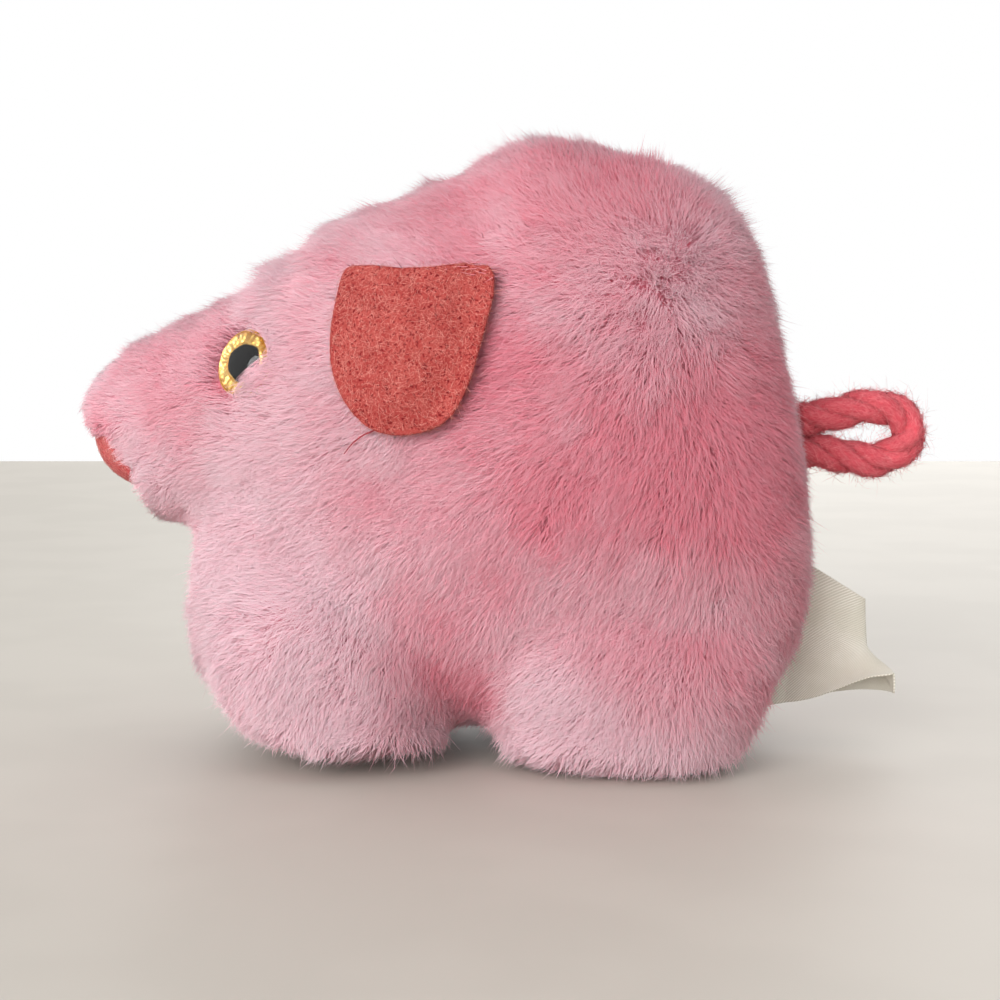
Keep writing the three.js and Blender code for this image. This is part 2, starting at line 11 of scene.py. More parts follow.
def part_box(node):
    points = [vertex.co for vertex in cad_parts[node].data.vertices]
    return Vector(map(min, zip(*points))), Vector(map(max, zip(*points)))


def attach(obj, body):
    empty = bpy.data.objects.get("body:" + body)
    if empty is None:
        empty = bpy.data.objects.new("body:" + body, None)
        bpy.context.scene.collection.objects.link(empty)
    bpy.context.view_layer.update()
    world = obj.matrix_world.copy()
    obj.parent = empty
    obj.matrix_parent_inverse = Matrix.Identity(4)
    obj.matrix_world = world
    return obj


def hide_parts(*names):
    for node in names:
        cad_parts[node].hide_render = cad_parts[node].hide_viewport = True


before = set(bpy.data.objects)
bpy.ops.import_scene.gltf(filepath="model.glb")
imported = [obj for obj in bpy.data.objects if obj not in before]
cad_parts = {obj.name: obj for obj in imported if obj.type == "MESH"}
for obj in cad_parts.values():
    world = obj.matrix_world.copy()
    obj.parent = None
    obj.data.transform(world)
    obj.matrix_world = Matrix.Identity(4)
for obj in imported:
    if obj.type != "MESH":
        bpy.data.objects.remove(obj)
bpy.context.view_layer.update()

mm = 0.001
picture = 1000  # pixels across the photograph's frame
mirrorY = np.array([1.0, -1.0, 1.0])


def say(stage):
    print("pig scene:", stage, flush=True)


def unit(rows):
    rows = np.asarray(rows, float)
    return rows / np.maximum(np.linalg.norm(rows, axis=-1, keepdims=True), 1e-12)


def smoothStep(low, high, value):
    part = np.clip((value - low) / (high - low), 0, 1)
    return part * part * (3 - 2 * part)


def softNoise(points, size, seed):  # smooth values from -1 to 1, about one swing per size
    cells = np.random.default_rng(seed).random((24, 24, 24)) * 2 - 1
    place = np.asarray(points) / size
    low = np.floor(place).astype(int)
    part = place - low
    part = part * part * (3 - 2 * part)
    total = np.zeros(len(place))
    for corner in range(8):
        step = np.array([corner & 1, corner >> 1 & 1, corner >> 2 & 1])
        at = (low + step) % 24
        weight = np.prod(np.where(step, part, 1 - part), axis=1)
        total += weight * cells[at[:, 0], at[:, 1], at[:, 2]]
    return total


def readRows(items, name, width, kind=np.float32):
    flat = np.empty(len(items) * width, kind)
    items.foreach_get(name, flat)
    return flat.reshape(-1, width)


def waves(points, table):  # rows of a share, size and seed
    return sum(share * softNoise(points, size, seed) for share, size, seed in table)


def nodePoints(name):
    return readRows(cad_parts[name].data.vertices, "co", 3).astype(float)


def addObject(name, data):
    made = bpy.data.objects.new(name, data)
    bpy.context.scene.collection.objects.link(made)
    return made


def bake(made):  # applies the modifiers
    bpy.context.view_layer.update()
    graph = bpy.context.evaluated_depsgraph_get()
    mesh = bpy.data.meshes.new_from_object(made.evaluated_get(graph), depsgraph=graph)
    old = made.data
    made.modifiers.clear()
    made.data = mesh
    bpy.data.meshes.remove(old)
    return made


def meshArrays(mesh):
    mesh.calc_loop_triangles()
    points = readRows(mesh.vertices, "co", 3).astype(float)
    normals = readRows(mesh.vertex_normals, "vector", 3).astype(float)
    return points, normals, readRows(mesh.loop_triangles, "vertices", 3, np.int32)


def setPoints(mesh, points):
    mesh.vertices.foreach_set("co", points.astype(np.float32).ravel())
    mesh.update()


def surfaceTree(points, corners):
    return BVHTree.FromPolygons(points.tolist(), corners.tolist())


def modify(made, kind, **values):
    modifier = made.modifiers.new(kind.lower(), kind)
    for key, value in values.items():
        setattr(modifier, key, value)


def besideAxis(points, middle, out):  # height along an axis, and the way and distance from it
    offset = points - middle
    height = offset @ out
    flat = offset - height[:, None] * out
    return height, flat, np.linalg.norm(flat, axis=1)


def pushOut(points, change, flat, spread):  # away from the axis
    points += (change / np.maximum(spread, 1e-9))[:, None] * flat


def folded(points):  # onto the side that the photograph shows
    return points * [1, 0, 1] + np.abs(points) * [0, -1, 0]


# Camera, at the photograph's height and angle
camera = {"lens": 72.0, "sensor": 36.0, "place": (0.0014, -0.276, 0.060), "aim": (0.0014, 0.0, 0.0338)}


def addCamera():
    data = bpy.data.cameras.new("photoCamera")
    data.lens = camera["lens"]
    data.sensor_width = camera["sensor"]
    data.clip_start = 0.01
    made = addObject("photoCamera", data)
    made.location = camera["place"]
    look = Vector(camera["aim"]) - Vector(camera["place"])
    made.rotation_euler = look.to_track_quat("-Z", "Y").to_euler()
    bpy.context.scene.camera = made


def pixelRay(x, y):  # from the camera through a pixel of the photograph
    start = Vector(camera["place"])
    ahead = (Vector(camera["aim"]) - start).normalized()
    right = ahead.cross(Vector((0, 0, 1))).normalized()
    up = right.cross(ahead)
    focal = camera["lens"] / camera["sensor"] * picture
    way = ahead * focal + right * (x - picture / 2) + up * (picture / 2 - y)
    return start, way.normalized()


addCamera()
say("camera")


# Materials
def newMaterial(name, roughness, **fixed):
    made = bpy.data.materials.new(name)
    made.use_nodes = True
    shader = made.node_tree.nodes["Principled BSDF"]
    shader.inputs["Roughness"].default_value = roughness
    for socket, value in fixed.items():
        shader.inputs[socket.replace("_", " ")].default_value = value
    return made, made.node_tree, shader


def link(tree, source, socket):  # from another socket, or as a plain value
    if isinstance(source, bpy.types.NodeSocket):
        tree.links.new(source, socket)
    else:
        socket.default_value = source


def addNode(tree, kind, **values):
    made = tree.nodes.new("ShaderNode" + kind)
    for key, value in values.items():
        socket = key.replace("_", " ")
        if socket in made.inputs:
            link(tree, value, made.inputs[socket])
        else:
            setattr(made, key, value)
    return made


def attribute(tree, name, output="Fac"):
    return addNode(tree, "Attribute", attribute_name=name).outputs[output]


def calculated(tree, operation, *values):
    made = addNode(tree, "Math", operation=operation)
    for value, socket in zip(values, made.inputs):
        link(tree, value, socket)
    return made.outputs[0]


def srgb(red, green, blue):  # 0 to 255, as a linear colour
    def linear(part):
        part /= 255
        return part / 12.92 if part <= 0.04045 else ((part + 0.055) / 1.055) ** 2.4

    return (linear(red), linear(green), linear(blue), 1.0)


def ramp(tree, stops):
    made = addNode(tree, "ValToRGB")
    parts = made.color_ramp.elements
    while len(parts) < len(stops):
        parts.new(0.5)
    for part, (place, colour) in zip(parts, stops):
        part.position = place
        part.color = colour
    return made


def mixColour(tree, share, first, second):
    made = addNode(tree, "Mix", data_type="RGBA")
    for value, index in ((share, 0), (first, 6), (second, 7)):
        link(tree, value, made.inputs[index])
    return made.outputs[2]


def curved(tree, value, low, high):  # stretches a value between two levels to 0 and 1
    levels = {"From_Min": low, "From_Max": high}
    return addNode(tree, "MapRange", interpolation_type="SMOOTHSTEP", Value=value, **levels).outputs["Result"]


def newGroup(name, inputs, outputs):  # inputs and outputs are pairs of a name and a kind of socket
    made = bpy.data.node_groups.new(name, "ShaderNodeTree")
    for way, sockets in (("INPUT", inputs), ("OUTPUT", outputs)):
        for socket, kind in sockets:
            made.interface.new_socket(name=socket, in_out=way, socket_type="NodeSocket" + kind)
    return made, made.nodes.new("NodeGroupInput").outputs, made.nodes.new("NodeGroupOutput").inputs


def useGroup(tree, group, **values):
    made = tree.nodes.new("ShaderNodeGroup")
    made.node_tree = group
    for socket, value in values.items():
        made.inputs[socket].default_value = value
    return made.outputs


grainNames = ("Scale", "Detail", "Roughness", "Low", "High")


def cloudyGroup():  # soft patches of one colour in another, and their mask
    inputs = [*[(name, "Float") for name in grainNames], ("First", "Color"), ("Second", "Color")]
    group, given, out = newGroup("cloudyPatches", inputs, [("Color", "Color"), ("Mask", "Float")])
    place = addNode(group, "TexCoord").outputs["Object"]
    noise = addNode(group, "TexNoise", Vector=place, **{name: given[name] for name in grainNames[:3]})
    mask = curved(group, noise.outputs["Fac"], given["Low"], given["High"])
    link(group, mixColour(group, mask, given["First"], given["Second"]), out["Color"])
    link(group, mask, out["Mask"])
    return group


def strandGroup():  # each loose fibre has its own shade between two colours
    group, given, out = newGroup("strandShade", [("Dark", "Color"), ("Light", "Color")], [("Color", "Color")])
    link(group, mixColour(group, attribute(group, "shade"), given["Dark"], given["Light"]), out["Color"])
    return group


cloudy = cloudyGroup()
strandShade = strandGroup()


def patches(tree, grain, first, second):  # grain is a scale, detail, roughness and two levels
    return useGroup(tree, cloudy, First=first, Second=second, **dict(zip(grainNames, grain)))


def patchyMaterial(name, roughness, grain, first, second, **fixed):
    made, tree, shader = newMaterial(name, roughness, **fixed)
    link(tree, patches(tree, grain, first, second)["Color"], shader.inputs["Base Color"])
    return made


def addBump(tree, shader, height, strength):
    bump = addNode(tree, "Bump", Strength=strength, Distance=0.06 * mm, Height=height)
    link(tree, bump.outputs["Normal"], shader.inputs["Normal"])


# Tail: one length of loosely spun yarn, bent to a loop
tail = {
    "diameter": 4.0 * mm,
    "plies": 3,
    "plyRadius": 1.26 * mm,
    "plyOffset": 1.02 * mm,
    "twistPitch": 15 * mm,
    # fibres along the plies and off them: count, least and most length, rise, radius
    "spun": (22000, (0.8 * mm, 2.6 * mm), 0.17 * mm, 0.028 * mm),
    "fuzz": (1500, (1.0 * mm, 4.5 * mm), 1.3 * mm, 0.011 * mm),
    "route": [
        (42.79, 45.1), (46.49, 45.5), (50.39, 46.5), (53.79, 46.7), (56.59, 45.6), (57.89, 43.2),
        (56.69, 40.9), (53.79, 39.5), (50.39, 39.6), (46.49, 40.4), (42.79, 40.6),
    ],
}


def mixAt(t, start, end, first, last):
    return (end - t) / (end - start) * first + (t - start) / (end - start) * last


def centripetal(points, perSpan):  # a smooth line through the points
    points = np.asarray(points, float)
    ends = [2 * points[0] - points[1], *points, 2 * points[-1] - points[-2]]
    line = []
    for near in zip(ends, ends[1:], ends[2:], ends[3:]):
        at = [0.0]
        for here, after in zip(near, near[1:]):
            at.append(at[-1] + math.sqrt(np.linalg.norm(after - here)))
        for t in np.linspace(at[1], at[2], perSpan, endpoint=False):
            once = [mixAt(t, at[k], at[k + 1], near[k], near[k + 1]) for k in range(3)]
            twice = [mixAt(t, at[k], at[k + 2], once[k], once[k + 1]) for k in range(2)]
            line.append(mixAt(t, at[1], at[2], *twice))
    line.append(points[-1])
    return np.array(line)


tailLine = centripetal([(x * mm, 0, z * mm) for x, z in tail["route"]], 12)
tailLength = float(np.linalg.norm(np.diff(tailLine, axis=0), axis=1).sum())


# Thin closed hairs in bulk, each a root point, rings of three and a tip
def strandGeometry(points, radii, turn):  # points is strands x places x 3, from root to tip
    count, places = points.shape[0], points.shape[1]
    along = unit(points[:, -1] - points[:, 0])
    helper = np.where(np.abs(along[:, 2:]) > 0.8, [[1.0, 0, 0]], [[0, 0, 1.0]])
    sideA = unit(np.cross(along, helper))
    sideB = np.cross(along, sideA)
    verts = [points[:, 0]]
    for ring in range(1, places - 1):
        for k in range(3):
            angle = turn + 2 * math.pi * k / 3
            out = sideA * np.cos(angle)[:, None] + sideB * np.sin(angle)[:, None]
            verts.append(points[:, ring] + out * radii[ring - 1][:, None])
    verts.append(points[:, -1])
    verts = np.stack(verts, axis=1)
    size = verts.shape[1]
    faces = [(0, 1 + (k + 1) % 3, 1 + k) for k in range(3)]
    for ring in range(places - 3):
        for k in range(3):
            low, nextLow = 1 + 3 * ring + k, 1 + 3 * ring + (k + 1) % 3
            faces += [(low, nextLow, nextLow + 3), (low, nextLow + 3, low + 3)]
    top = size - 4
    faces += [(top + k, top + (k + 1) % 3, size - 1) for k in range(3)]
    faces = np.array(faces)[None] + size * np.arange(count)[:, None, None]
    return verts.reshape(-1, 3), faces.reshape(-1, 3), size


def softNormals(mesh, lines, outward, share):  # shades a hair by the pile it stands in
    own = readRows(mesh.vertex_normals, "vector", 3).reshape(len(lines), -1, 3)
    along = unit(lines[:, -1] - lines[:, 0])
    across = outward - along * (outward * along).sum(1)[:, None]
    lit = unit(0.2 * across + 0.8 * outward)[:, None, :]
    mixed = unit(share * lit + (1 - share) * own).reshape(-1, 3)
    mesh.normals_split_custom_set_from_vertices(mixed.tolist())


def fastMesh(name, verts, faces):
    mesh = bpy.data.meshes.new(name)
    mesh.vertices.add(len(verts))
    mesh.vertices.foreach_set("co", np.asarray(verts, np.float32).ravel())
    mesh.loops.add(faces.size)
    mesh.loops.foreach_set("vertex_index", faces.astype(np.int32).ravel())
    mesh.polygons.add(len(faces))
    mesh.polygons.foreach_set("loop_start", np.arange(0, faces.size, 3, dtype=np.int32))
    mesh.polygons.foreach_set("use_smooth", np.ones(len(faces), bool))
    mesh.update(calc_edges=True)
    return mesh


def addPiece(name, verts, faces, look):
    made = addObject(name, fastMesh(name, verts, faces))
    made.data.materials.append(look)
    return made


def cover(mesh, look):  # with one material, in place of its own
    mesh.materials.clear()
    mesh.materials.append(look)


def addFloats(mesh, name, values):
    layer = mesh.attributes.new(name, "FLOAT", "POINT")
    layer.data.foreach_set("value", np.asarray(values, np.float32))


def bakeMap(mesh, faces, cell, across, down):  # each strand has a cell of the bake's map
    columns = math.ceil(math.sqrt(cell.max() + 1))
    uv = np.stack([(cell % columns + across) / columns, (cell // columns + down) / columns], axis=1)
    layer = mesh.uv_layers.new(name="OFBake")
    layer.uv.foreach_set("vector", np.asarray(uv, np.float32)[faces.ravel()].ravel())


# Plush skin: the backing cloth under the pile
plush = {
    "depth": 3.8 * mm,  # from the backing to the pile's face
    "noseDepth": 1.3 * mm,
    "noseFade": (6 * mm, 24 * mm),  # where the pile goes over to its full depth
    "footDepth": 3.0 * mm,
    "footFade": (9 * mm, 1 * mm),
    "voxel": 1.2 * mm,
    "headBands": 9,
    "bandReach": 2.2 * mm,
    "blend": 22,  # smoothing rounds over the joins of the forms
    "restoreBlend": 6,
    "lastBlend": 3,
    "swell": 0.35 * mm,
    "restore": 0.7,  # of what smoothing takes off the rounded sides
    "bellyX": -2 * mm,
    "bellyZone": (15 * mm, 30 * mm),  # half its length, and its height
    "bellySag": 2.2 * mm,
    "shin": (5 * mm, 13 * mm),
    "frontSpread": 1.1,
    "rearSpread": 1.06,
    "frontLift": (2.2 * mm, 12 * mm),  # at the floor, and up to here
    "heel": 0.8 * mm,  # how far the front foot's pile reaches back
    "frontSole": 3.0 * mm,
    "rearSole": 1.6 * mm,
    "rearNarrow": 0.84,
    "rearTuck": 1.6 * mm,
    "strands": 580000,
    "radius": 0.036 * mm,
    "clump": 11,  # hairs in one clump
    "lock": 110,  # hairs in one lock
    "pieceSize": 32000,  # hairs in one piece of the pile, at most about
    "cloth": 0.5 * mm,
    "fill": 0.8,
    "softness": 0.97,  # how far a hair is shaded as part of the pile's face
    "seed": 11,
}
legNames = [f"{end}_leg_plush_{side}" for end in ("front", "rear") for side in ("left", "right")]
plushNodes = ["torso_plush", "head_plush", *legNames]


def addHull(made, points):
    lump = bmesh.new()
    corners = [lump.verts.new(p) for p in points]
    hull = bmesh.ops.convex_hull(lump, input=corners)
    loose = {v for v in hull["geom_interior"] + hull["geom_unused"] if isinstance(v, bmesh.types.BMVert)}
    bmesh.ops.delete(lump, geom=list(loose), context="VERTS")
    part = bpy.data.meshes.new("hull")
    lump.to_mesh(part)
    lump.free()
    made.from_mesh(part)
    bpy.data.meshes.remove(part)


def evenOut(mesh):  # smooths the joins, and gives back what that takes off
    first, outward, _ = meshArrays(mesh)
    count = len(first)
    a, b = readRows(mesh.edges, "vertices", 2, np.int32).T
    degree = np.bincount(a, minlength=count) + np.bincount(b, minlength=count)

    def smoothed(rows, times):
        for _ in range(times):
            total = [np.bincount(a, rows[b, k], count) + np.bincount(b, rows[a, k], count) for k in range(3)]
            rows = (rows + np.stack(total, axis=1) / degree[:, None]) / 2
        return rows

    points = smoothed(first, plush["blend"])
    lost = np.clip(((first - points) * outward).sum(1), 0, None)
    lost = smoothed(np.repeat(lost[:, None], 3, axis=1), plush["restoreBlend"])
    points = smoothed(points + plush["restore"] * lost * outward, plush["lastBlend"])
    setPoints(mesh, points)
    setPoints(mesh, points + plush["swell"] * meshArrays(mesh)[1])


def makePileFace():  # the outer face of the whole pile, as one smooth surface
    made = bmesh.new()
    torso = nodePoints("torso_plush")
    addHull(made, torso)
    reach, top = plush["bellyZone"]
    low = torso[(np.abs(torso[:, 0] - plush["bellyX"]) < reach) & (torso[:, 2] < top)]
    addHull(made, low - [0, 0, plush["bellySag"]])
    for node in legNames:
        leg = nodePoints(node)
        front = node.startswith("front")
        fixed = leg[:, 0].min() if front else leg[:, 0].max()
        leg[:, 0] = fixed + (leg[:, 0] - fixed) * (plush["frontSpread"] if front else plush["rearSpread"])
        low, high = plush["shin"]
        shin = leg[(leg[:, 2] > low) & (leg[:, 2] < high)]
        middle = shin.mean(0)
        if front:
            lift, top = plush["frontLift"]
            leg[:, 2] += lift * smoothStep(top, 0, leg[:, 2])
            shin = shin[shin[:, 0] > middle[0]] + [plush["heel"], 0, 0]
        sole = middle + (shin - middle) * (1.0 if front else plush["rearNarrow"])
        sole[:, 0] -= 0 if front else plush["rearTuck"]
        sole[:, 2] = plush["frontSole"] if front else plush["rearSole"]
        addHull(made, np.vstack([leg, sole]))
    head = nodePoints("head_plush")
    edges = np.linspace(head[:, 0].min(), head[:, 0].max(), plush["headBands"] + 1)
    reach = plush["bandReach"]
    for low, high in zip(edges, edges[1:]):
        addHull(made, head[(head[:, 0] > low - reach) & (head[:, 0] < high + reach)])
    mesh = bpy.data.meshes.new("pileFace")
    made.to_mesh(mesh)
    made.free()
    face = addObject("pileFace", mesh)
    modify(face, "REMESH", mode="VOXEL", voxel_size=plush["voxel"])
    bake(face)
    evenOut(face.data)
    return face


pileFace = makePileFace()
facePoints, faceNormals, faceCorners = meshArrays(pileFace.data)
faceTree = surfaceTree(facePoints, faceCorners)
noseMiddle = nodePoints("nose_felt_disc").mean(0)


def pileDepth(points):
    away = np.linalg.norm(points - noseMiddle, axis=1)
    depth = plush["noseDepth"] + (plush["depth"] - plush["noseDepth"]) * smoothStep(*plush["noseFade"], away)
    return depth + (plush["footDepth"] - depth) * smoothStep(*plush["footFade"], points[:, 2])


def onPileFace(x, y):  # where a pixel of the photograph falls on the pile
    start, way = pixelRay(x, y)
    hit = faceTree.ray_cast(start, way)[0]
    if hit is None:
        middle = start + way * ((0 - start.y) / way.y)
        hit = faceTree.find_nearest(middle)[0]
    return np.array(hit)


# Where the pile stands higher or lower: pixel, radius in mm, mm
growth = [
    (400, 215, 8, -1.4), (300, 262, 5, 0.6), (205, 325, 5, 0.6), (470, 185, 5, -0.7), (620, 155, 5, -0.6),
    (785, 340, 10, -1.5), (770, 740, 5, -1.0), (100, 380, 3, -0.3), (100, 418, 3, 0.6),
    (120, 472, 2.5, -0.8), (152, 506, 4, 0.9),
]


def growFace():
    total = np.zeros(len(facePoints))
    places = folded(facePoints)
    for x, y, radius, change in growth:
        away = ((places - onPileFace(x, y))[:, ::2] ** 2).sum(1)
        total += change * mm * np.exp(-away / (2 * (radius * mm) ** 2))
    setPoints(pileFace.data, facePoints + total[:, None] * faceNormals)


growFace()
facePoints, faceNormals, faceCorners = meshArrays(pileFace.data)
faceTree = surfaceTree(facePoints, faceCorners)
say(f"pile face of {len(facePoints)} points")


# How the pile lies: pixel, way of the tips there in the picture, and how far it leans
combing = {
    "reach": 7.5 * mm,
    "step": 12,  # pixels over which a stroke's way is read
    "waver": ((0.4, 5 * mm, 40), (0.4, 1.7 * mm, 44)),
    "strokes": [
        (130, 355, -1.0, -0.25, 0.9), (150, 400, -1.0, 0.1, 1.0), (104, 405, -0.6, 0.8, 1.1),
        (165, 490, -0.9, 0.5, 0.8), (165, 450, -1.0, 0.25, 1.1), (200, 385, -1.0, 0.2, 1.1),
        (200, 320, -0.9, -0.35, 0.9), (260, 290, -0.9, -0.3, 1.0), (330, 240, -0.9, -0.3, 1.0),
        (420, 232, -1.0, -0.12, 1.0), (372, 254, -0.45, 0.9, 1.5), (450, 185, -0.8, -0.55, 0.8),
        (545, 150, -0.5, -0.8, 0.8), (620, 180, -0.4, -0.8, 0.6), (690, 205, 0.2, -0.7, 0.4),
        (668, 242, -0.7, 0.3, 0.6), (740, 265, 0.7, 0.2, 0.5), (762, 320, 0.8, 0.3, 0.7),
        (530, 330, -1.0, 0.22, 1.4), (530, 275, -1.0, 0.05, 1.3), (560, 225, -1.0, -0.08, 1.2),
        (620, 260, -0.85, 0.4, 1.3), (660, 300, -0.6, 0.7, 1.3), (640, 370, -0.65, 0.7, 1.4),
        (683, 290, -0.5, 0.8, 1.2), (722, 300, 0.5, 0.7, 1.1), (735, 355, 0.6, 0.6, 1.1),
        (570, 400, -0.9, 0.45, 1.4), (480, 455, -0.9, 0.4, 1.4), (400, 475, -0.85, 0.5, 1.3),
        (330, 480, -0.8, 0.5, 1.3), (280, 420, -0.9, 0.3, 1.2), (230, 430, -0.95, 0.25, 1.2),
        (300, 365, -1.0, 0.15, 1.2), (260, 520, -0.8, 0.55, 1.2), (210, 560, -0.85, 0.45, 0.9),
        (330, 560, -0.68, 0.72, 1.3), (400, 560, -0.68, 0.72, 1.3), (480, 540, -0.68, 0.72, 1.4),
        (560, 520, -0.68, 0.72, 1.4), (640, 480, -0.55, 0.85, 1.4), (700, 450, -0.35, 0.9, 1.2),
        (750, 430, 0.3, 0.9, 1.0), (778, 480, 0.8, 0.5, 0.7), (225, 640, -0.7, 0.7, 1.0),
        (320, 650, -0.5, 0.85, 1.2), (400, 650, -0.6, 0.8, 1.2), (450, 690, -0.5, 0.7, 1.0),
        (260, 715, -0.5, 0.85, 1.0), (345, 722, -0.5, 0.85, 1.0), (560, 640, -0.8, 0.5, 1.2),
        (620, 640, -0.75, 0.6, 1.2), (700, 600, -0.4, 0.9, 1.3), (765, 600, 0.4, 0.9, 0.9),
        (520, 695, -0.85, 0.45, 1.0), (600, 715, -0.6, 0.8, 1.0), (690, 715, -0.2, 0.95, 1.0),
        (755, 690, 0.5, 0.8, 0.9), (590, 580, -0.7, 0.7, 1.4), (660, 560, -0.55, 0.8, 1.4),
        (720, 540, -0.3, 0.9, 1.3), (785, 560, 0.8, 0.5, 0.8),
    ],
    # sides that the photograph doesn't show: place in mm, way, lean
    "unseen": [
        ((-41, 0, 28), (-0.3, 0, -1), 0.9), ((-38, 0, 10), (-0.3, 0, -1), 0.9),
        ((-20, 0, 32), (-1, 0, -0.2), 0.9), ((0, 0, 83), (-1, 0, 0.2), 0.9),
        ((14, 0, 82), (-0.4, 0, 0.5), 0.6), ((-22, 0, 71), (-1, 0, -0.6), 0.9),
        ((-45, 0, 53), (-1, 0, -0.5), 0.9), ((30, 0, 76), (1, 0, 0.1), 0.7),
        ((40, 0, 60), (0.3, 0, -1), 0.7), ((43, 0, 40), (0.2, 0, -1), 0.8),
        ((40, 0, 15), (0.2, 0, -1), 0.9), ((-20, 0, 5), (-1, 0, 0), 0.9), ((5, 0, 5), (-1, 0, 0), 0.9),
        ((30, 0, 5), (-1, 0, 0), 0.9),
    ],
}


def readStrokes():
    places, ways, leans = [], [], []
    for x, y, right, down, lean in combing["strokes"]:
        here = onPileFace(x, y)
        ahead = onPileFace(x + combing["step"] * right, y + combing["step"] * down)
        way = ahead - here
        flat = np.array([right, 0.0, -down])
        if np.linalg.norm(way) < 0.4 * mm or np.dot(unit(way), unit(flat)) < 0.3:
            way = flat
        for side in (np.ones(3), mirrorY):
            places.append(here * side)
            ways.append(unit(way * side))
            leans.append(lean)
    for place, way, lean in combing["unseen"]:
        places.append(np.array(place) * mm)
        ways.append(unit(np.array(way, float)))
        leans.append(lean)
    return np.array(places), np.array(ways), np.array(leans)


strokePlaces, strokeWays, strokeLeans = readStrokes()


def combAt(points, normals):
    ways = np.zeros_like(points)
    leans = np.zeros(len(points))
    total = np.zeros(len(points))
    for place, way, lean in zip(strokePlaces, strokeWays, strokeLeans):
        away = ((points - place) ** 2).sum(1)
        weight = np.exp(-away / (2 * combing["reach"] ** 2)) + 1e-9 / (away + 1e-6)
        ways += weight[:, None] * way
        leans += weight * lean
        total += weight
    leans /= total
    ways -= normals * (ways * normals).sum(1)[:, None]
    ways = unit(ways)
    for axis in range(3):
        ways[:, axis] += waves(points, [(share, size, seed + axis) for share, size, seed in combing["waver"]])
    ways -= normals * (ways * normals).sum(1)[:, None]
    return unit(ways), leans


# Deeper and paler places of the pile: pixel, radius in mm, change of tone. Most are painted light and shade:
# deeper where the ears shade the pile, between the legs, on the top and towards the rear, and paler on the
# legs; the rest is the pile's own tone
toneAndShadeSpots = [
    (360, 253, 2.0, -0.7), (430, 250, 2.0, -0.8), (480, 258, 2.2, -0.8), (503, 300, 2.5, -0.7),
    (482, 372, 2.5, -0.7), (520, 480, 9, -0.5), (405, 485, 6, -0.5), (560, 450, 8, -0.3),
    (650, 285, 7, 0.4), (340, 655, 8, 0.3), (470, 188, 7, -0.5), (545, 158, 6, -0.6), (630, 172, 6, -0.9),
    (690, 195, 5, -0.5), (400, 212, 5, -0.5), (330, 240, 4, -0.4), (166, 405, 2.2, -1.2),
    (156, 428, 2.0, -0.9), (218, 382, 2.0, -0.9), (112, 398, 5, -0.3), (150, 358, 5, -0.4),
    (140, 465, 4, 0.4), (760, 250, 6, -0.6), (780, 400, 7, -0.6), (770, 540, 6, -0.5), (790, 480, 6, -0.5),
    (745, 690, 5, -0.5), (690, 460, 7, -0.9), (735, 470, 5, -0.7), (505, 330, 5, -0.8),
    (485, 395, 4, -0.7), (600, 215, 6, -0.7), (560, 235, 4, -0.5), (720, 350, 5, -0.7),
    (740, 380, 4, -0.6), (490, 685, 5, -1.2), (640, 655, 5, -0.7), (440, 640, 5, -0.7),
    (190, 412, 3, -0.5), (600, 440, 6, -0.5), (760, 420, 7, -0.6), (775, 330, 6, -0.5),
    (560, 620, 4, -0.5), (220, 560, 9, 0.8), (225, 660, 9, 0.9), (270, 430, 8, 0.6), (280, 720, 8, 0.9),
    (540, 700, 7, 0.9), (650, 740, 7, 0.8), (120, 375, 6, 0.4), (350, 220, 8, 0.5), (500, 160, 8, 0.4),
    (690, 240, 7, 0.3), (400, 600, 7, 0.3),
]


# the pile's own tone, with painted light and shade added to it
def toneAndShadeAt(points):
    toneAndShade = np.zeros(len(points))
    places = folded(points)
    for x, y, radius, change in toneAndShadeSpots:
        away = ((places - onPileFace(x, y)) ** 2).sum(1)
        toneAndShade += change * np.exp(-away / (2 * (radius * mm) ** 2))
    toneAndShade += waves(points, pile["toneWaves"])
    # painted light on the low pile of the feet
    paler, high, low = pile["paintedLightLow"]
    return toneAndShade + paler * smoothStep(high, low, points[:, 2])


noseShape = nodePoints("nose_felt_disc")
noseSpread = np.linalg.eigh(np.cov((noseShape - noseMiddle).T))[1][:, 0]
noseOut = noseSpread * np.sign(noseSpread @ np.array([-1.0, 0, 0]))
noseRadius = 6.6 * mm
noseSink = 1.5 * mm  # of the felt disc's rim into the pile
noseHeights = (noseShape - noseMiddle) @ noseOut
noseBack, noseFront = float(noseHeights.min()), float(noseHeights.max())
noseRoom = {
    "backing": 1.2 * mm,  # between the disc's lower side and the backing
    "reach": 6 * mm,  # where the pile is free again, beyond the disc's radius
    "bare": (0.6 * mm, -2.5 * mm),  # no hair has its root nearer the middle and further out than this
    "above": (0.2, 0.6),  # where the pile goes over to hanging over the disc
    "overhang": 4.2 * mm,
}


def makeBacking():
    sunk = facePoints - faceNormals * pileDepth(facePoints)[:, None]
    height, flat, spread = besideAxis(sunk, noseMiddle, noseOut)
    proud = np.clip(height - (noseBack - noseSink - noseRoom["backing"]), 0, 4 * mm)
    proud *= smoothStep(noseRadius + 3.5 * mm, noseRadius + 0.8 * mm, spread)
    proud *= smoothStep(0.5, 0.1, flat[:, 2] / np.maximum(spread, 1e-9))  # not above the nose
    mesh = pileFace.data.copy()
    setPoints(mesh, sunk - proud[:, None] * noseOut)
    backing = addObject("backing_cloth", mesh)
    modify(backing, "SMOOTH", factor=0.5, iterations=4)
    return bake(backing)


backing = makeBacking()
backPoints, backNormals, backCorners = meshArrays(backing.data)
say("backing cloth")


def faceAreas(points, corners):
    a, b, c = (points[corners[:, k]] for k in range(3))
    return np.linalg.norm(np.cross(b - a, c - a), axis=1) / 2


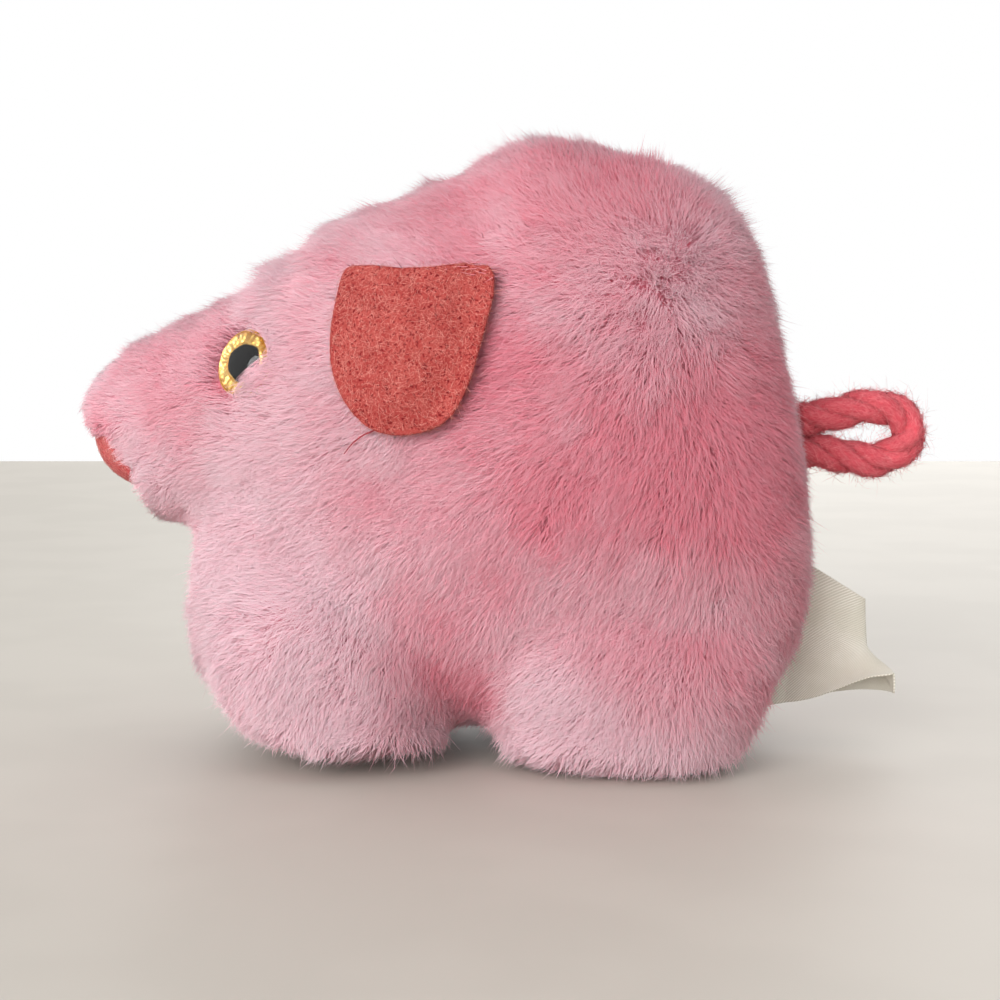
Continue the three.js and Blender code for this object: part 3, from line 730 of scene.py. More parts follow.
def scatter(points, normals, corners, count, rng):
    area = faceAreas(points, corners)
    face = np.searchsorted(np.cumsum(area) / area.sum(), rng.random(count))
    face = np.minimum(face, len(corners) - 1)
    u, v = rng.random(count), rng.random(count)
    over = u + v > 1
    u[over], v[over] = 1 - u[over], 1 - v[over]
    shares = np.stack([1 - u - v, u, v], axis=1)[:, :, None]
    chosen = corners[face]
    return (points[chosen] * shares).sum(1), unit((normals[chosen] * shares).sum(1))


def nearestOf(centres, points):
    tree = KDTree(len(centres))
    for index, centre in enumerate(centres):
        tree.insert(centre, index)
    tree.balance()
    return np.array([tree.find(p)[1] for p in points])


# Places the pile makes room for
eyeRoom = {
    "radius": 4.5 * mm,
    "reach": 8 * mm,  # how deep along the eye's axis hairs are moved
    "lidWay": (1.0, 0.0, -0.9),  # the side where the pile lies over the eye
    "lid": (1.7 * mm, 2.0 * mm),  # how near the middle it comes: nearest, and further for some
    "edge": (0.45 * mm, 0.5 * mm),  # the same inwards of the rim, on the other sides
    "rearWay": (1.0, 0.0, 0.15),
    "rearGap": 0.35 * mm,
    "drawn": (0.35, 3 * mm),  # how much of their distance to the lid hairs keep, and up to where
    "slope": (0.7, 0.9, 0.5),  # in mm, and its rise, above which the pile behind the eye is laid down
    "slopeReach": 5 * mm,
    "cover": 0.12 * mm,  # between the dome and the hairs over it
}
earRoom = {"under": 0.25 * mm, "over": 1.6 * mm, "root": 3 * mm, "near": 15 * mm}

eyes, earTrees = {}, {}
for side in ("left", "right"):
    lens = nodePoints(f"eye_lens_{side}")
    stem = nodePoints(f"eye_disc_and_stem_{side}")
    out = unit(lens.mean(0) - stem.mean(0))
    heights = (lens - lens.mean(0)) @ out
    rim = lens[heights < heights.min() + 0.2 * mm]
    middle = (rim.max(0) + rim.min(0)) / 2
    eyes[side] = {"middle": middle, "out": out, "rise": float(((lens - middle) @ out).max())}
    earPoints, _, earCorners = meshArrays(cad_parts[f"ear_{side}"].data)
    earTrees[side] = surfaceTree(earPoints, earCorners)


def rootsKept(roots):
    kept = roots[:, 2] > 0.6 * mm
    for eye in eyes.values():
        height, _, spread = besideAxis(roots, eye["middle"], eye["out"])
        kept &= ~((spread < eyeRoom["radius"] + 0.1 * mm) & (np.abs(height) < eyeRoom["reach"]))
    height, _, spread = besideAxis(roots, noseMiddle, noseOut)
    inward, out = noseRoom["bare"]
    return kept & ~((spread < noseRadius - inward) & (height > out))


def sideShare(flat, spread, way, out):  # how far places lie to one side of an axis, -1 to 1
    way = np.array(way)
    way = unit(way - out * (way @ out))
    return (flat @ way) / np.maximum(spread, 1e-9)


def clearEyes(points, ragged):
    radius = eyeRoom["radius"]
    for eye in eyes.values():
        middle, out = eye["middle"], eye["out"]
        height, flat, spread = besideAxis(points, middle, out)
        beside = np.abs(height) < eyeRoom["reach"]
        toward = sideShare(flat, spread, eyeRoom["lidWay"], out)
        rear = smoothStep(-0.3, 0.6, sideShare(flat, spread, eyeRoom["rearWay"], out))
        # the pile's edge, and hairs beyond it drawn in to the lid
        nearest, further = eyeRoom["lid"]
        lid = (nearest + further * np.sqrt(ragged)) / np.maximum(toward, 0.05)
        inward, less = eyeRoom["edge"]
        limit = np.minimum(radius - inward + less * ragged, lid)
        limit = limit + eyeRoom["rearGap"] * rear * (limit < lid)
        keeps, upTo = eyeRoom["drawn"]
        drawn = keeps + (1 - keeps) * smoothStep(radius, radius + upTo, spread)
        closer = np.where((toward > 0.15) & (limit < spread), (drawn - 1) * (spread - limit), 0)
        closer *= smoothStep(0.15, 0.45, toward) * beside
        pushOut(points, closer, flat, spread)
        flat = flat * ((spread + closer) / np.maximum(spread, 1e-9))[:, None]
        spread = spread + closer
        inside = (spread < limit) & beside
        pushOut(points, np.where(inside, limit - spread, 0), flat, spread)
        spread = np.where(inside, limit, spread)
        # hairs behind the eye laid down, and those over the dome lifted off it
        low, more, rise = eyeRoom["slope"]
        slope = (low + more * ragged) * mm + rise * np.clip(spread - radius, 0, None)
        far = radius + eyeRoom["slopeReach"]
        over = (spread < far) & beside & (height > slope)
        sunk = np.where(over, height - slope, 0) * rear * smoothStep(far, radius, spread)
        points -= sunk[:, None] * out
        height = (points - middle) @ out
        dome = eye["rise"] * np.sqrt(np.clip(1 - (spread / (radius + 0.5 * mm)) ** 2, 0, 1))
        near = (spread < radius + 0.2 * mm) & (np.abs(height) < eyeRoom["reach"])
        points += np.where(near, np.maximum(0, dome + eyeRoom["cover"] - height), 0)[:, None] * out


def clearNose(points):  # the pile ends behind the felt disc, and hangs over its upper edge
    height, flat, spread = besideAxis(points, noseMiddle, noseOut)
    over = smoothStep(*noseRoom["above"], flat[:, 2] / np.maximum(spread, 1e-9))
    far = noseRadius + noseRoom["reach"]
    free = noseRoom["reach"] * smoothStep(noseRadius + 0.9 * mm, far, spread)
    back = noseBack - noseSink
    most = back + 0.25 * mm + (noseFront - back + 0.9 * mm) * over + free
    points -= np.where((spread < far) & (height > most), height - most, 0)[:, None] * noseOut
    height = np.minimum(height, np.where(spread < far, most, height))
    rim = noseRadius + 0.12 * mm - noseRoom["overhang"] * over
    inside = (spread < rim) & (height > back - 0.3 * mm) & (height < noseFront + 3 * mm)
    pushOut(points, np.where(inside, rim - spread, 0), flat, spread)


def clearEars(points, roots):
    for side, sign in (("left", -1), ("right", 1)):
        low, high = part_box(f"ear_{side}")
        x, y, z = points.T
        level = (x > low.x) & (x < high.x) & (z > low.z) & (z < high.z)
        for index in np.nonzero(level & (y * sign > earRoom["near"]))[0]:
            x, y, z = points[index]
            inner = earTrees[side].ray_cast(Vector((x, 0, z)), Vector((0, sign, 0)))[0]
            if inner is None:
                continue
            if z > high.z - earRoom["root"] and roots[index, 2] > high.z - 1.0 * mm:
                points[index, 1] = sign * (abs(inner.y) + earRoom["over"])
            elif abs(y) > abs(inner.y) - earRoom["under"]:
                points[index, 1] = sign * (abs(inner.y) - earRoom["under"])


# Pixels on the outline where the pile stands up in a tuft
tufts = [
    (545, 138), (522, 150), (498, 160), (714, 190), (732, 215), (762, 250), (770, 290), (385, 205),
    (440, 180), (650, 165), (600, 150), (330, 240), (255, 290), (778, 420), (786, 520), (300, 255),
]


# Single hairs, their clumps and locks
pile = {
    "lean": (0.55, 0.35),  # share of the combed lean: least, and more for some
    "lengths": 0.09,
    "waves": ((0.17, 2.0 * mm, 61), (0.07, 6 * mm, 62)),  # of the length
    "toneWaves": ((0.45, 9 * mm, 71), (0.35, 4 * mm, 72)),
    # painted light: the pile paler towards the floor, where the feet lie in shade: how much, and the heights
    # where it starts and is full
    "paintedLightLow": (0.7, 10 * mm, 2 * mm),
    "toneSpread": (0.13, 0.05, 0.3),  # from clump to clump, from hair to hair, and from lock to lock
    "tuft": (0.5, 1.3 * mm),
    "wisps": ((0.96, 1.25), (0.9994, 1.35)),  # beyond this share of the hairs, longer by
    "stray": 0.4,
    "frizz": 0.11,
    "bend": (0.8, 0.6),  # how high a hair's middle stands, and how far it leans
    "pull": (0.04, 0.16),  # of tips to their clump: least, and more for some
    "lock": (0.08, 0.34, 7 * mm),  # the same for locks, and the size of tighter places
    "sink": 0.3 * mm,  # of the roots under the backing
}


def growPile():
    rng = np.random.default_rng(plush["seed"])
    roots, normals = scatter(backPoints, backNormals, backCorners, plush["strands"], rng)
    kept = rootsKept(roots)
    roots, normals = roots[kept], normals[kept]
    count = len(roots)
    depth = pileDepth(roots + normals * plush["depth"])
    ways, leans = combAt(roots, normals)
    least, more = pile["lean"]
    leans = leans * (least + more * rng.random(count))
    long = 1 + pile["lengths"] * rng.standard_normal(count)
    long += waves(roots, pile["waves"])
    rise, size = pile["tuft"]
    for x, y in tufts:
        spot = onPileFace(x, y)
        spot = spot if y > 300 else spot * [1, 0, 1] + np.minimum(spot, -1 * mm) * [0, 1, 0]
        away = np.linalg.norm(roots + normals * depth[:, None] - spot, axis=1)
        long += rise * np.exp(-((away / size) ** 2))
    wisps = rng.random(count)
    for beyond, longer in pile["wisps"]:
        long = np.where(wisps > beyond, long * longer, long)
    stray = rng.standard_normal((count, 3))
    stray = stray - 0.8 * normals * (stray * normals).sum(1)[:, None]
    stray = stray * (pile["stray"] * depth)[:, None]
    tips = roots + normals * (depth * long)[:, None] + ways * (depth * leans * long)[:, None] + stray
    frizz = rng.standard_normal((count, 3)) * (pile["frizz"] * depth)[:, None]
    up, over = pile["bend"]
    high = up * depth * np.minimum(long, 1)
    middles = roots + normals * high[:, None] + ways * (over * depth * leans)[:, None] + 0.6 * stray + frizz
    # clumps of a few hairs, and locks of many
    centres = rng.choice(count, count // plush["clump"], replace=False)
    clump = nearestOf(roots[centres], roots)
    least, more = pile["pull"]
    pull = np.where(wisps > 0.97, least, least + more * rng.random(count))[:, None]
    home = centres[clump]
    tips += pull * (tips[home] - tips)
    middles += 0.5 * pull * (middles[home] - middles)
    locks = rng.choice(count, count // plush["lock"], replace=False)
    nearest = nearestOf(roots[locks], roots)
    lock = locks[nearest]
    least, more, size = pile["lock"]
    strength = least + more * smoothStep(-0.5, 0.6, softNoise(roots, size, 5))[:, None]
    tips += strength * (tips[lock] - tips)
    middles += 0.45 * strength * (middles[lock] - middles)
    ragged = rng.random(count)
    for points in (middles, tips):
        clearEyes(points, ragged)
        clearNose(points)
        clearEars(points, roots)
        points[:, 2] = np.maximum(points[:, 2], 0.3 * mm)
    ofClump, ofHair, ofLock = pile["toneSpread"]
    # the pile's own tone from clump, hair and lock, plus the painted light and shade of the spots
    toneAndShade = toneAndShadeAt(roots) + ofClump * rng.standard_normal(len(centres))[clump]
    toneAndShade = toneAndShade + ofHair * rng.standard_normal(count)
    toneAndShade += ofLock * rng.standard_normal(len(locks))[nearest] * strength[:, 0]
    return roots - normals * pile["sink"], middles, tips, normals, clump, toneAndShade, rng


def pilePart(points):  # the sewn part whose form a place belongs to
    best = np.full(len(points), np.inf)
    part = np.zeros(len(points), int)
    for index, node in enumerate(plushNodes):
        mesh = bmesh.new()
        addHull(mesh, nodePoints(node))
        tree = BVHTree.FromBMesh(mesh)
        away = np.array([tree.find_nearest(p)[3] for p in points])
        mesh.free()
        part = np.where(away < best, index, part)
        best = np.minimum(best, away)
    return part


def addPile(look):
    roots, middles, tips, normals, clump, toneAndShade, rng = growPile()
    say(f"{len(roots)} strands")
    clumps = clump.max() + 1
    counts = np.bincount(clump, minlength=clumps)
    heads = [np.bincount(clump, tips[:, k], minlength=clumps) / np.maximum(counts, 1) for k in range(3)]
    heads = np.stack(heads, axis=1)
    part = pilePart(heads)
    for index, node in enumerate(plushNodes):
        mine = np.nonzero((part == index) & (counts > 0))[0]
        pieces = math.ceil(counts[mine].sum() / plush["pieceSize"])
        order = mine[np.argsort(heads[mine, 0] + 0.4 * heads[mine, 2])]
        cuts = np.searchsorted(np.cumsum(counts[order]), np.arange(1, pieces) * counts[mine].sum() / pieces)
        for number, group in enumerate(np.split(order, cuts), 1):
            rank = np.full(clumps, -1)
            rank[group] = np.arange(len(group))
            chosen = np.nonzero(rank[clump] >= 0)[0]
            name = node.replace("_plush", "_pile") + f"_{number}"
            strands = (roots, middles, tips, normals, toneAndShade, rank[clump])
            addPilePiece(name, [rows[chosen] for rows in strands], rng, look)


def addPilePiece(name, strands, rng, look):
    roots, middles, tips, normals, toneAndShade, cell = strands
    count = len(roots)
    lines = np.stack([roots, middles, tips], axis=1)
    width = plush["radius"] * (0.8 + 0.4 * rng.random(count))
    verts, faces, size = strandGeometry(lines, [width], 2 * math.pi * rng.random(count))
    made = addPiece(name, verts, faces, look)
    softNormals(made.data, lines, normals, plush["softness"])
    addFloats(made.data, "along", np.tile([0, 0.75, 0.75, 0.75, 1.0], count))
    addFloats(made.data, "toneAndShade", np.repeat(toneAndShade, size))
    across = np.tile([0.5, 0.12, 0.5, 0.88, 0.5], count)
    down = np.tile([0.05, 0.58, 0.66, 0.58, 0.95], count)
    bakeMap(made.data, faces, np.repeat(cell, size), across, down)
    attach(made, "pig")


def pileMaterial():
    made, tree, shader = newMaterial(
        "pinkPile", 0.85, Specular_IOR_Level=0.04, Subsurface_Weight=0.6,
        Subsurface_Radius=(0.7, 1.0, 0.95), Subsurface_Scale=0.06 * mm,
    )
    # deeper pink at the roots than at the tips: partly the fibres' own colour, partly painted shade deep in
    # the pile
    deep = ramp(tree, [(0.0, srgb(230, 104, 122)), (0.75, srgb(234, 127, 143)), (1.0, srgb(238, 138, 153))])
    pale = ramp(tree, [(0.0, srgb(242, 165, 179)), (0.75, srgb(245, 190, 202)), (1.0, srgb(247, 201, 210))])
    for colours in (deep, pale):
        link(tree, attribute(tree, "along"), colours.inputs["Fac"])
    # deeper where the tone is low: partly the pile's own tone, partly painted shade
    share = curved(tree, attribute(tree, "toneAndShade"), -1.3, 1.1)
    colour = mixColour(tree, share, deep.outputs["Color"], pale.outputs["Color"])
    link(tree, colour, shader.inputs["Base Color"])
    return made


def addCloth(look):  # one sewn panel for each part, cut from the backing where the parts meet
    owner = pilePart(backPoints[backCorners].mean(1))
    for index, node in enumerate(plushNodes):
        mine = backCorners[owner == index]
        used, packed = np.unique(mine, return_inverse=True)
        name = node.replace("_plush", "_cloth")
        cloth = addPiece(name, backPoints[used], packed.reshape(-1, 3), look)
        modify(cloth, "SOLIDIFY", thickness=plush["cloth"], offset=-1)
        bake(cloth)
        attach(cloth, "pig")
        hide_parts(node)


addPile(pileMaterial())
knitGrain = (900.0, 2.0, 0.5, 0.35, 0.65)
addCloth(patchyMaterial("backingKnit", 0.9, knitGrain, srgb(226, 104, 126), srgb(238, 128, 148)))
bpy.data.objects.remove(backing)
bpy.data.objects.remove(pileFace)
say("pile")


# Felt: pressed fibres, for the ears and the nose
def feltMaterial(name, dark, mid, light, pit):
    made, tree, shader = newMaterial(name, 0.95, Specular_IOR_Level=0.1)
    base = patches(tree, (330.0, 3.0, 0.5, 0.35, 0.68), dark, mid)["Color"]
    fibre = patches(tree, (3600.0, 4.0, 0.65, 0.48, 0.74), dark, light)["Mask"]
    pits = patches(tree, (2700.0, 1.0, 0.5, 0.45, 0.33), dark, pit)["Mask"]
    face = mixColour(tree, fibre, base, light)
    link(tree, mixColour(tree, pits, face, pit), shader.inputs["Base Color"])
    addBump(tree, shader, fibre, 0.4)
    return made


felt = {
    "voxel": 0.3 * mm,
    "round": 3,
    "fibresPerArea": 13.0,  # to a square millimetre
    "fibres": ((0.5 * mm, 1.7 * mm), 0.16 * mm, 0.019 * mm),  # their least and most length, rise, radius
    "noseCrown": 2.4 * mm,
}
earLook = feltMaterial(
    "coralFelt", srgb(150, 54, 52), srgb(168, 70, 66), srgb(202, 108, 100), srgb(116, 28, 32)
)
# painted light: the nose's felt is the ears' felt made lighter, and so are its fibres
litNoseLook = feltMaterial(
    "coralFeltNose", srgb(184, 76, 78), srgb(204, 94, 94), srgb(228, 128, 124), srgb(160, 52, 58)
)


def fibreMaterial(name, dark, light):
    made, tree, shader = newMaterial(name, 0.9, Specular_IOR_Level=0.1)
    link(tree, useGroup(tree, strandShade, Dark=dark, Light=light)["Color"], shader.inputs["Base Color"])
    return made


feltFibreLook = fibreMaterial("coralFeltFibre", srgb(178, 78, 72), srgb(232, 156, 144))
# painted light: lighter copy of the ears' felt fibres
litNoseFibreLook = fibreMaterial("coralFeltNoseFibre", srgb(204, 98, 96), srgb(240, 162, 154))


def hugging(lines, mesh, rise):  # keeps long fibres on the curve of the mass that they lie on
    points, _, corners = meshArrays(mesh)
    tree = surfaceTree(points, corners)
    for line in lines:
        for index in range(1, len(line)):
            near, normal = tree.find_nearest(Vector(line[index]))[:2]
            high = (Vector(line[index]) - near).dot(normal)
            if high > rise:
                line[index] = near + normal * rise
    return lines


# Loose fibres that lie on a face; grain holds lines that they follow, as points and their ways
def addFibres(name, mesh, look, count, span, rise, radius, seed, grain=None, front=None, hugs=False):
    rng = np.random.default_rng(seed)
    points, normals, corners = meshArrays(mesh)
    roots, outward = scatter(points, normals, corners, count, rng)
    way = rng.standard_normal((count, 3))
    if grain is not None:
        way = 0.25 * way + grain[1][nearestOf(grain[0], roots)] * rng.choice([-1, 1], (count, 1))
    way = unit(way - outward * (way * outward).sum(1)[:, None])
    side = np.cross(way, outward)
    long = span[0] + (span[1] - span[0]) * rng.random((count, 1)) ** 2
    if front is not None:  # short where they would stand out from behind
        long *= np.where((outward @ front < 0.35)[:, None], 0.2, 1)
    high = rise * rng.random((count, 1)) ** 1.5
    sway = 0.3 * long * rng.standard_normal((count, 1))
    line = [roots - outward * 0.06 * mm]
    for share, lift, turn in ((0.3, 0.8, 0.25), (0.7, 1.0, 0.8), (1.0, 0.5, 1.5)):
        line.append(roots + way * long * share + outward * high * lift + side * sway * turn)
    lines = np.stack(line, axis=1)
    if hugs:
        lines = hugging(lines, mesh, rise)
    width = radius * (0.7 + 0.6 * rng.random(count))
    verts, faces, size = strandGeometry(lines, [width, width * 0.8], 2 * math.pi * rng.random(count))
    made = addPiece(name, verts, faces, look)
    softNormals(made.data, lines, outward, 0.8)
    addFloats(made.data, "shade", np.repeat(rng.random(count) ** 1.3, size))
    across = np.tile([0.5, 0.1, 0.5, 0.9, 0.1, 0.5, 0.9, 0.5], count)
    down = np.tile([0.05, 0.3, 0.34, 0.3, 0.66, 0.7, 0.66, 0.95], count)
    bakeMap(made.data, faces, np.repeat(np.arange(count), size), across, down)
    return made


def crownNose(mesh):  # a domed front, and the rim sunk into the pile
    points = readRows(mesh.vertices, "co", 3).astype(float)
    height, _, spread = besideAxis(points, noseMiddle, noseOut)
    crown = felt["noseCrown"] * (1 - (spread / noseRadius) ** 2).clip(0, 1)
    points += (crown * smoothStep(noseBack, noseFront, height) - noseSink)[:, None] * noseOut
    setPoints(mesh, points)


def addFelt(node, name, body):
    piece = addObject(name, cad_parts[node].data.copy())
    isNose = node == "nose_felt_disc"
    if isNose:
        crownNose(piece.data)
    modify(piece, "REMESH", mode="VOXEL", voxel_size=felt["voxel"])
    modify(piece, "SMOOTH", factor=0.5, iterations=felt["round"])
    bake(piece)
    cover(piece.data, litNoseLook if isNose else earLook)
    for polygon in piece.data.polygons:
        polygon.use_smooth = True
    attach(piece, body)
    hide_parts(node)
    points, _, corners = meshArrays(piece.data)
    count = int(felt["fibresPerArea"] * float(faceAreas(points, corners).sum()) / mm**2)
    front = noseOut if isNose else np.array([0, -1.0 if node.endswith("left") else 1.0, 0])
    look = litNoseFibreLook if isNose else feltFibreLook
    fuzz = addFibres(
        name.replace("felt", "felt_fibres"), piece.data, look, count, *felt["fibres"], len(name), front=front
    )
    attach(fuzz, body)


addFelt("ear_left", "ear_felt_left", "left_ear")
addFelt("ear_right", "ear_felt_right", "right_ear")
addFelt("nose_felt_disc", "nose_felt", "pig")
say("felt")


# Yarn tail: plies that wind round its line
def twistedPly(line, index):
    steps = np.concatenate([[0], np.cumsum(np.linalg.norm(np.diff(line, axis=0), axis=1))])
    tangent = unit(np.gradient(line, axis=0))
    side = np.array([0.0, 1.0, 0.0])
    up = unit(np.cross(tangent, side))
    angle = 2 * math.pi * (steps / tail["twistPitch"] + index / tail["plies"])
    middle = line + tail["plyOffset"] * (np.cos(angle)[:, None] * side + np.sin(angle)[:, None] * up)
    return middle, unit(np.gradient(middle, axis=0))


def tubeFaces(rings, sides):  # the points are rings, then the middles of both ends
    faces = []
    for ring in range(rings - 1):
        for k in range(sides):
            low, nextLow = ring * sides + k, ring * sides + (k + 1) % sides
            faces += [(low, nextLow, nextLow + sides), (low, nextLow + sides, low + sides)]
    first, last = rings * sides, rings * sides + 1
    for k in range(sides):
        faces.append((first, (k + 1) % sides, k))
        faces.append((last, first - sides + k, first - sides + (k + 1) % sides))
    return np.array(faces)


def tube(middle, a, b, radii, sides):  # a and b are the ways across the line at each place
    verts = []
    for k in range(sides):
        angle = 2 * math.pi * k / sides
        verts.append(middle + radii[:, None] * (math.cos(angle) * a + math.sin(angle) * b))
    verts = np.stack(verts, axis=1).reshape(-1, 3)
    return np.vstack([verts, middle[0], middle[-1]]), tubeFaces(len(middle), sides)


def addTail():
    verts, faces, start = [], [], 0
    lines = [twistedPly(tailLine, index) for index in range(tail["plies"])]
    for middle, tangent in lines:
        a = unit(np.cross(tangent, [0.0, 1.0, 0.0]))
        radii = np.full(len(middle), tail["plyRadius"])
        some, corners = tube(middle, a, np.cross(tangent, a), radii, 12)
        verts.append(some)
        faces.append(corners + start)
        start += len(some)
    grain = (1500.0, 3.0, 0.6, 0.35, 0.65)
    yarn = patchyMaterial("coralYarn", 0.95, grain, srgb(226, 74, 90), srgb(246, 112, 122), Sheen_Weight=0.2)
    made = addPiece("tail_loop", np.vstack(verts), np.vstack(faces), yarn)
    along = [np.vstack(rows) for rows in zip(*lines)]
    look = fibreMaterial("coralYarnFibre", srgb(234, 88, 102), srgb(254, 148, 154))
    spun = addFibres("tail_spun", made.data, look, *tail["spun"], 16, along)
    fuzz = addFibres("tail_fuzz", made.data, look, *tail["fuzz"], 17)
    for loose in (spun, fuzz):
        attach(loose, "tail")
    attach(made, "tail")
    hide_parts("tail_yarn")


addTail()
say(f"tail of {tailLength * 1000:.1f} mm")


# Eyes: a clear dome over a foil disc with a black pupil, on a stem
eye = {
    "radius": 4.32 * mm,
    "lip": (4.5 * mm, 0.55 * mm),  # the foil's edge, turned up round the dome
    "back": -0.3 * mm,  # the dome's flat side, bonded to the foil
    "rim": 0.2 * mm,
    "top": 2.3 * mm,
    "pupil": 2.25 * mm,
    "crinkle": 0.08 * mm,
    "sides": 144,
    "disc": (-0.3 * mm, -1.1 * mm),  # its front and back, below the dome's back
    "stemEnd": -6.7 * mm,
    "stem": 1.3 * mm,
}


def turned(profile, sides):  # radius and height pairs from axis to axis, as points and triangles
    angles = 2 * math.pi * np.arange(sides) / sides
    across, up = np.cos(angles), np.sin(angles)
    verts = []
    for radius, height in profile[1:-1]:
        verts.append(np.stack([radius * across, radius * up, np.full(sides, height)], axis=1))
    verts.append([[0, 0, profile[0][1]], [0, 0, profile[-1][1]]])
    return np.vstack(verts), tubeFaces(len(profile) - 2, sides)


def placeAlong(points, place, out):
    turn = Vector((0, 0, 1)).rotation_difference(Vector(out)).to_matrix()
    return points @ np.array(turn).T + place


def domeMaterial():
    made, tree, shader = newMaterial("clearDome", 0.03, Transmission_Weight=1.0, IOR=1.47)
    seen = addNode(tree, "LightPath").outputs
    through = calculated(tree, "MAXIMUM", seen["Is Shadow Ray"], seen["Is Diffuse Ray"])
    clear = addNode(tree, "MapRange", To_Min=1.0, To_Max=0.06, Value=through)
    link(tree, clear.outputs["Result"], shader.inputs["Alpha"])
    return made


def foilMaterial():
    made, tree, shader = newMaterial("goldFoil", 0.3, Specular_IOR_Level=0.0)
    pupil = attribute(tree, "pupil")
    streak = attribute(tree, "streak", "Vector")
    wide = addNode(tree, "TexNoise", Scale=1.6, Detail=3.0, Roughness=0.6, Vector=streak).outputs["Fac"]
    fine = addNode(tree, "TexNoise", Scale=5.0, Detail=4.0, Roughness=0.7, Vector=streak).outputs["Fac"]
    # the foil's reflections are painted: paler glints and darker streaks along its crinkles
    warm = mixColour(tree, curved(tree, wide, 0.36, 0.62), srgb(228, 174, 88), srgb(244, 204, 118))
    paintedGlint = mixColour(tree, curved(tree, fine, 0.54, 0.7), warm, srgb(255, 232, 170))
    paintedStreaks = mixColour(tree, curved(tree, fine, 0.4, 0.28), paintedGlint, srgb(206, 148, 72))
    link(tree, mixColour(tree, pupil, paintedStreaks, srgb(14, 13, 14)), shader.inputs["Base Color"])
    link(tree, calculated(tree, "SUBTRACT", 1.0, pupil), shader.inputs["Metallic"])
    return made


def addEye(side, domeLook, foilLook):
    place, out = eyes[side]["middle"], eyes[side]["out"]
    radius, low, rim = eye["radius"], eye["back"], eye["rim"]
    profile = [(0, low), (radius - 0.15 * mm, low), (radius, low + 0.12 * mm)]
    for a in np.linspace(0, math.pi / 2, 28)[:-1]:
        profile.append((radius * math.cos(a), rim + (eye["top"] - rim) * math.sin(a)))
    profile.append((0, eye["top"]))
    verts, faces = turned(profile, eye["sides"])
    dome = addPiece(f"eye_dome_{side}", placeAlong(verts, place, out), faces, domeLook)
    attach(dome, "pig")
    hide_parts(f"eye_lens_{side}")
    front, back = eye["disc"]
    edge, lip = eye["lip"]
    inner, floor = edge - 0.12 * mm, front + 0.12 * mm
    stem, end = eye["stem"], eye["stemEnd"]
    profile = [(0, end), (stem / 2, end), (stem, end + stem), (stem, back), (edge, back), (edge, lip)]
    profile += [(inner, lip), (inner, floor)]
    profile += [(r, floor) for r in np.linspace(inner - 0.05 * mm, 0, 46)]
    verts, faces = turned(profile, eye["sides"])
    radius = np.linalg.norm(verts[:, :2], axis=1)
    angle = np.arctan2(verts[:, 1], verts[:, 0])
    streak = np.stack([4 * np.cos(angle), 4 * np.sin(angle), 0.9 * radius / mm], axis=1)
    top = (verts[:, 2] > front) & (radius < inner - 0.02 * mm)
    rough = softNoise(streak * [1.6, 1.6, 0.8] + 40, 1.0, 21) + 0.6 * softNoise(streak * 3 + 40, 1.0, 22)
    outside = smoothStep(eye["pupil"] - 0.05 * mm, eye["pupil"] + 0.25 * mm, radius)
    verts[:, 2] += np.where(top, eye["crinkle"] * rough * outside + 0.12 * mm * (1 - outside), 0)
    wavy = eye["pupil"] * (1 + 0.03 * np.sin(3 * angle + 1) + 0.02 * np.sin(7 * angle))
    disc = addPiece(f"eye_disc_{side}", placeAlong(verts, place, out), faces, foilLook)
    black = 1 - smoothStep(wavy - 0.06 * mm, wavy + 0.06 * mm, radius)
    addFloats(disc.data, "pupil", np.where(top, black, 0))
    layer = disc.data.attributes.new("streak", "FLOAT_VECTOR", "POINT")
    layer.data.foreach_set("vector", (streak + 10).astype(np.float32).ravel())
    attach(disc, "pig")
    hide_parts(f"eye_disc_and_stem_{side}")


domeLook, foilLook = domeMaterial(), foilMaterial()
for side in eyes:
    addEye(side, domeLook, foilLook)
say("eyes")


# Label: a woven ribbon, folded once, both ends in the rear seam
label = {
    "seamTop": (43.28, 25.6),
    "seamFoot": (41.18, 5.4),
    "foldTop": (52.2, 20.0),
    "foldFoot": (55.3, 7.8),
    "loop": 0.9,
    "flare": 2.2,
    "curl": 6.0,
    "layers": 0.5,
    "thickness": 0.22 * mm,
    "crumple": (0.22, 5.0),  # by how much, and the size of the folds
    "lift": 3.0,  # of the front layer's lower edge
    "columns": 170,
    "rows": 120,
    "into": 0.1,  # the share of its length that goes into the seam, at either end
    "flat": (19.7 * mm, 27.5 * mm),
}


def labelPoints():
    along, down = np.meshgrid(
        np.linspace(-label["into"], 1 + label["into"], label["columns"]), np.linspace(0, 1, label["rows"])
    )
    along, down = along.ravel(), down.ravel()
    out = np.sin(math.pi * along)
    late = smoothStep(0.5, 1, down)
    (topX, topZ), (footX, footZ) = label["seamTop"], label["seamFoot"]
    rootX, rootZ = topX + (footX - topX) * down, topZ + (footZ - topZ) * down
    (topX, topZ), (footX, footZ) = label["foldTop"], label["foldFoot"]
    foldX, foldZ = topX + (footX - topX) * late, topZ + (footZ - topZ) * down
    x = rootX + (foldX - rootX) * out
    z = rootZ + (foldZ - rootZ) * out
    apart = label["loop"] + label["flare"] * down**2
    inside = (along > 0) & (along < 1)
    y = np.where(inside, -apart * np.sin(2 * math.pi * along), 0)
    y += (2 * along - 1) * label["layers"] / 2 - label["curl"] * down**2 * np.clip(out, 0, 1) ** 2
    points = np.stack([x, y, z], axis=1)
    deep, size = label["crumple"]
    points[:, 1] += deep * softNoise(points, size, 31) * np.clip(out, 0, 1)
    front = smoothStep(0.02, 0.3, along) * smoothStep(0.5, 0.43, along)
    points[:, 2] += label["lift"] * down**3 * front
    return points * mm, down


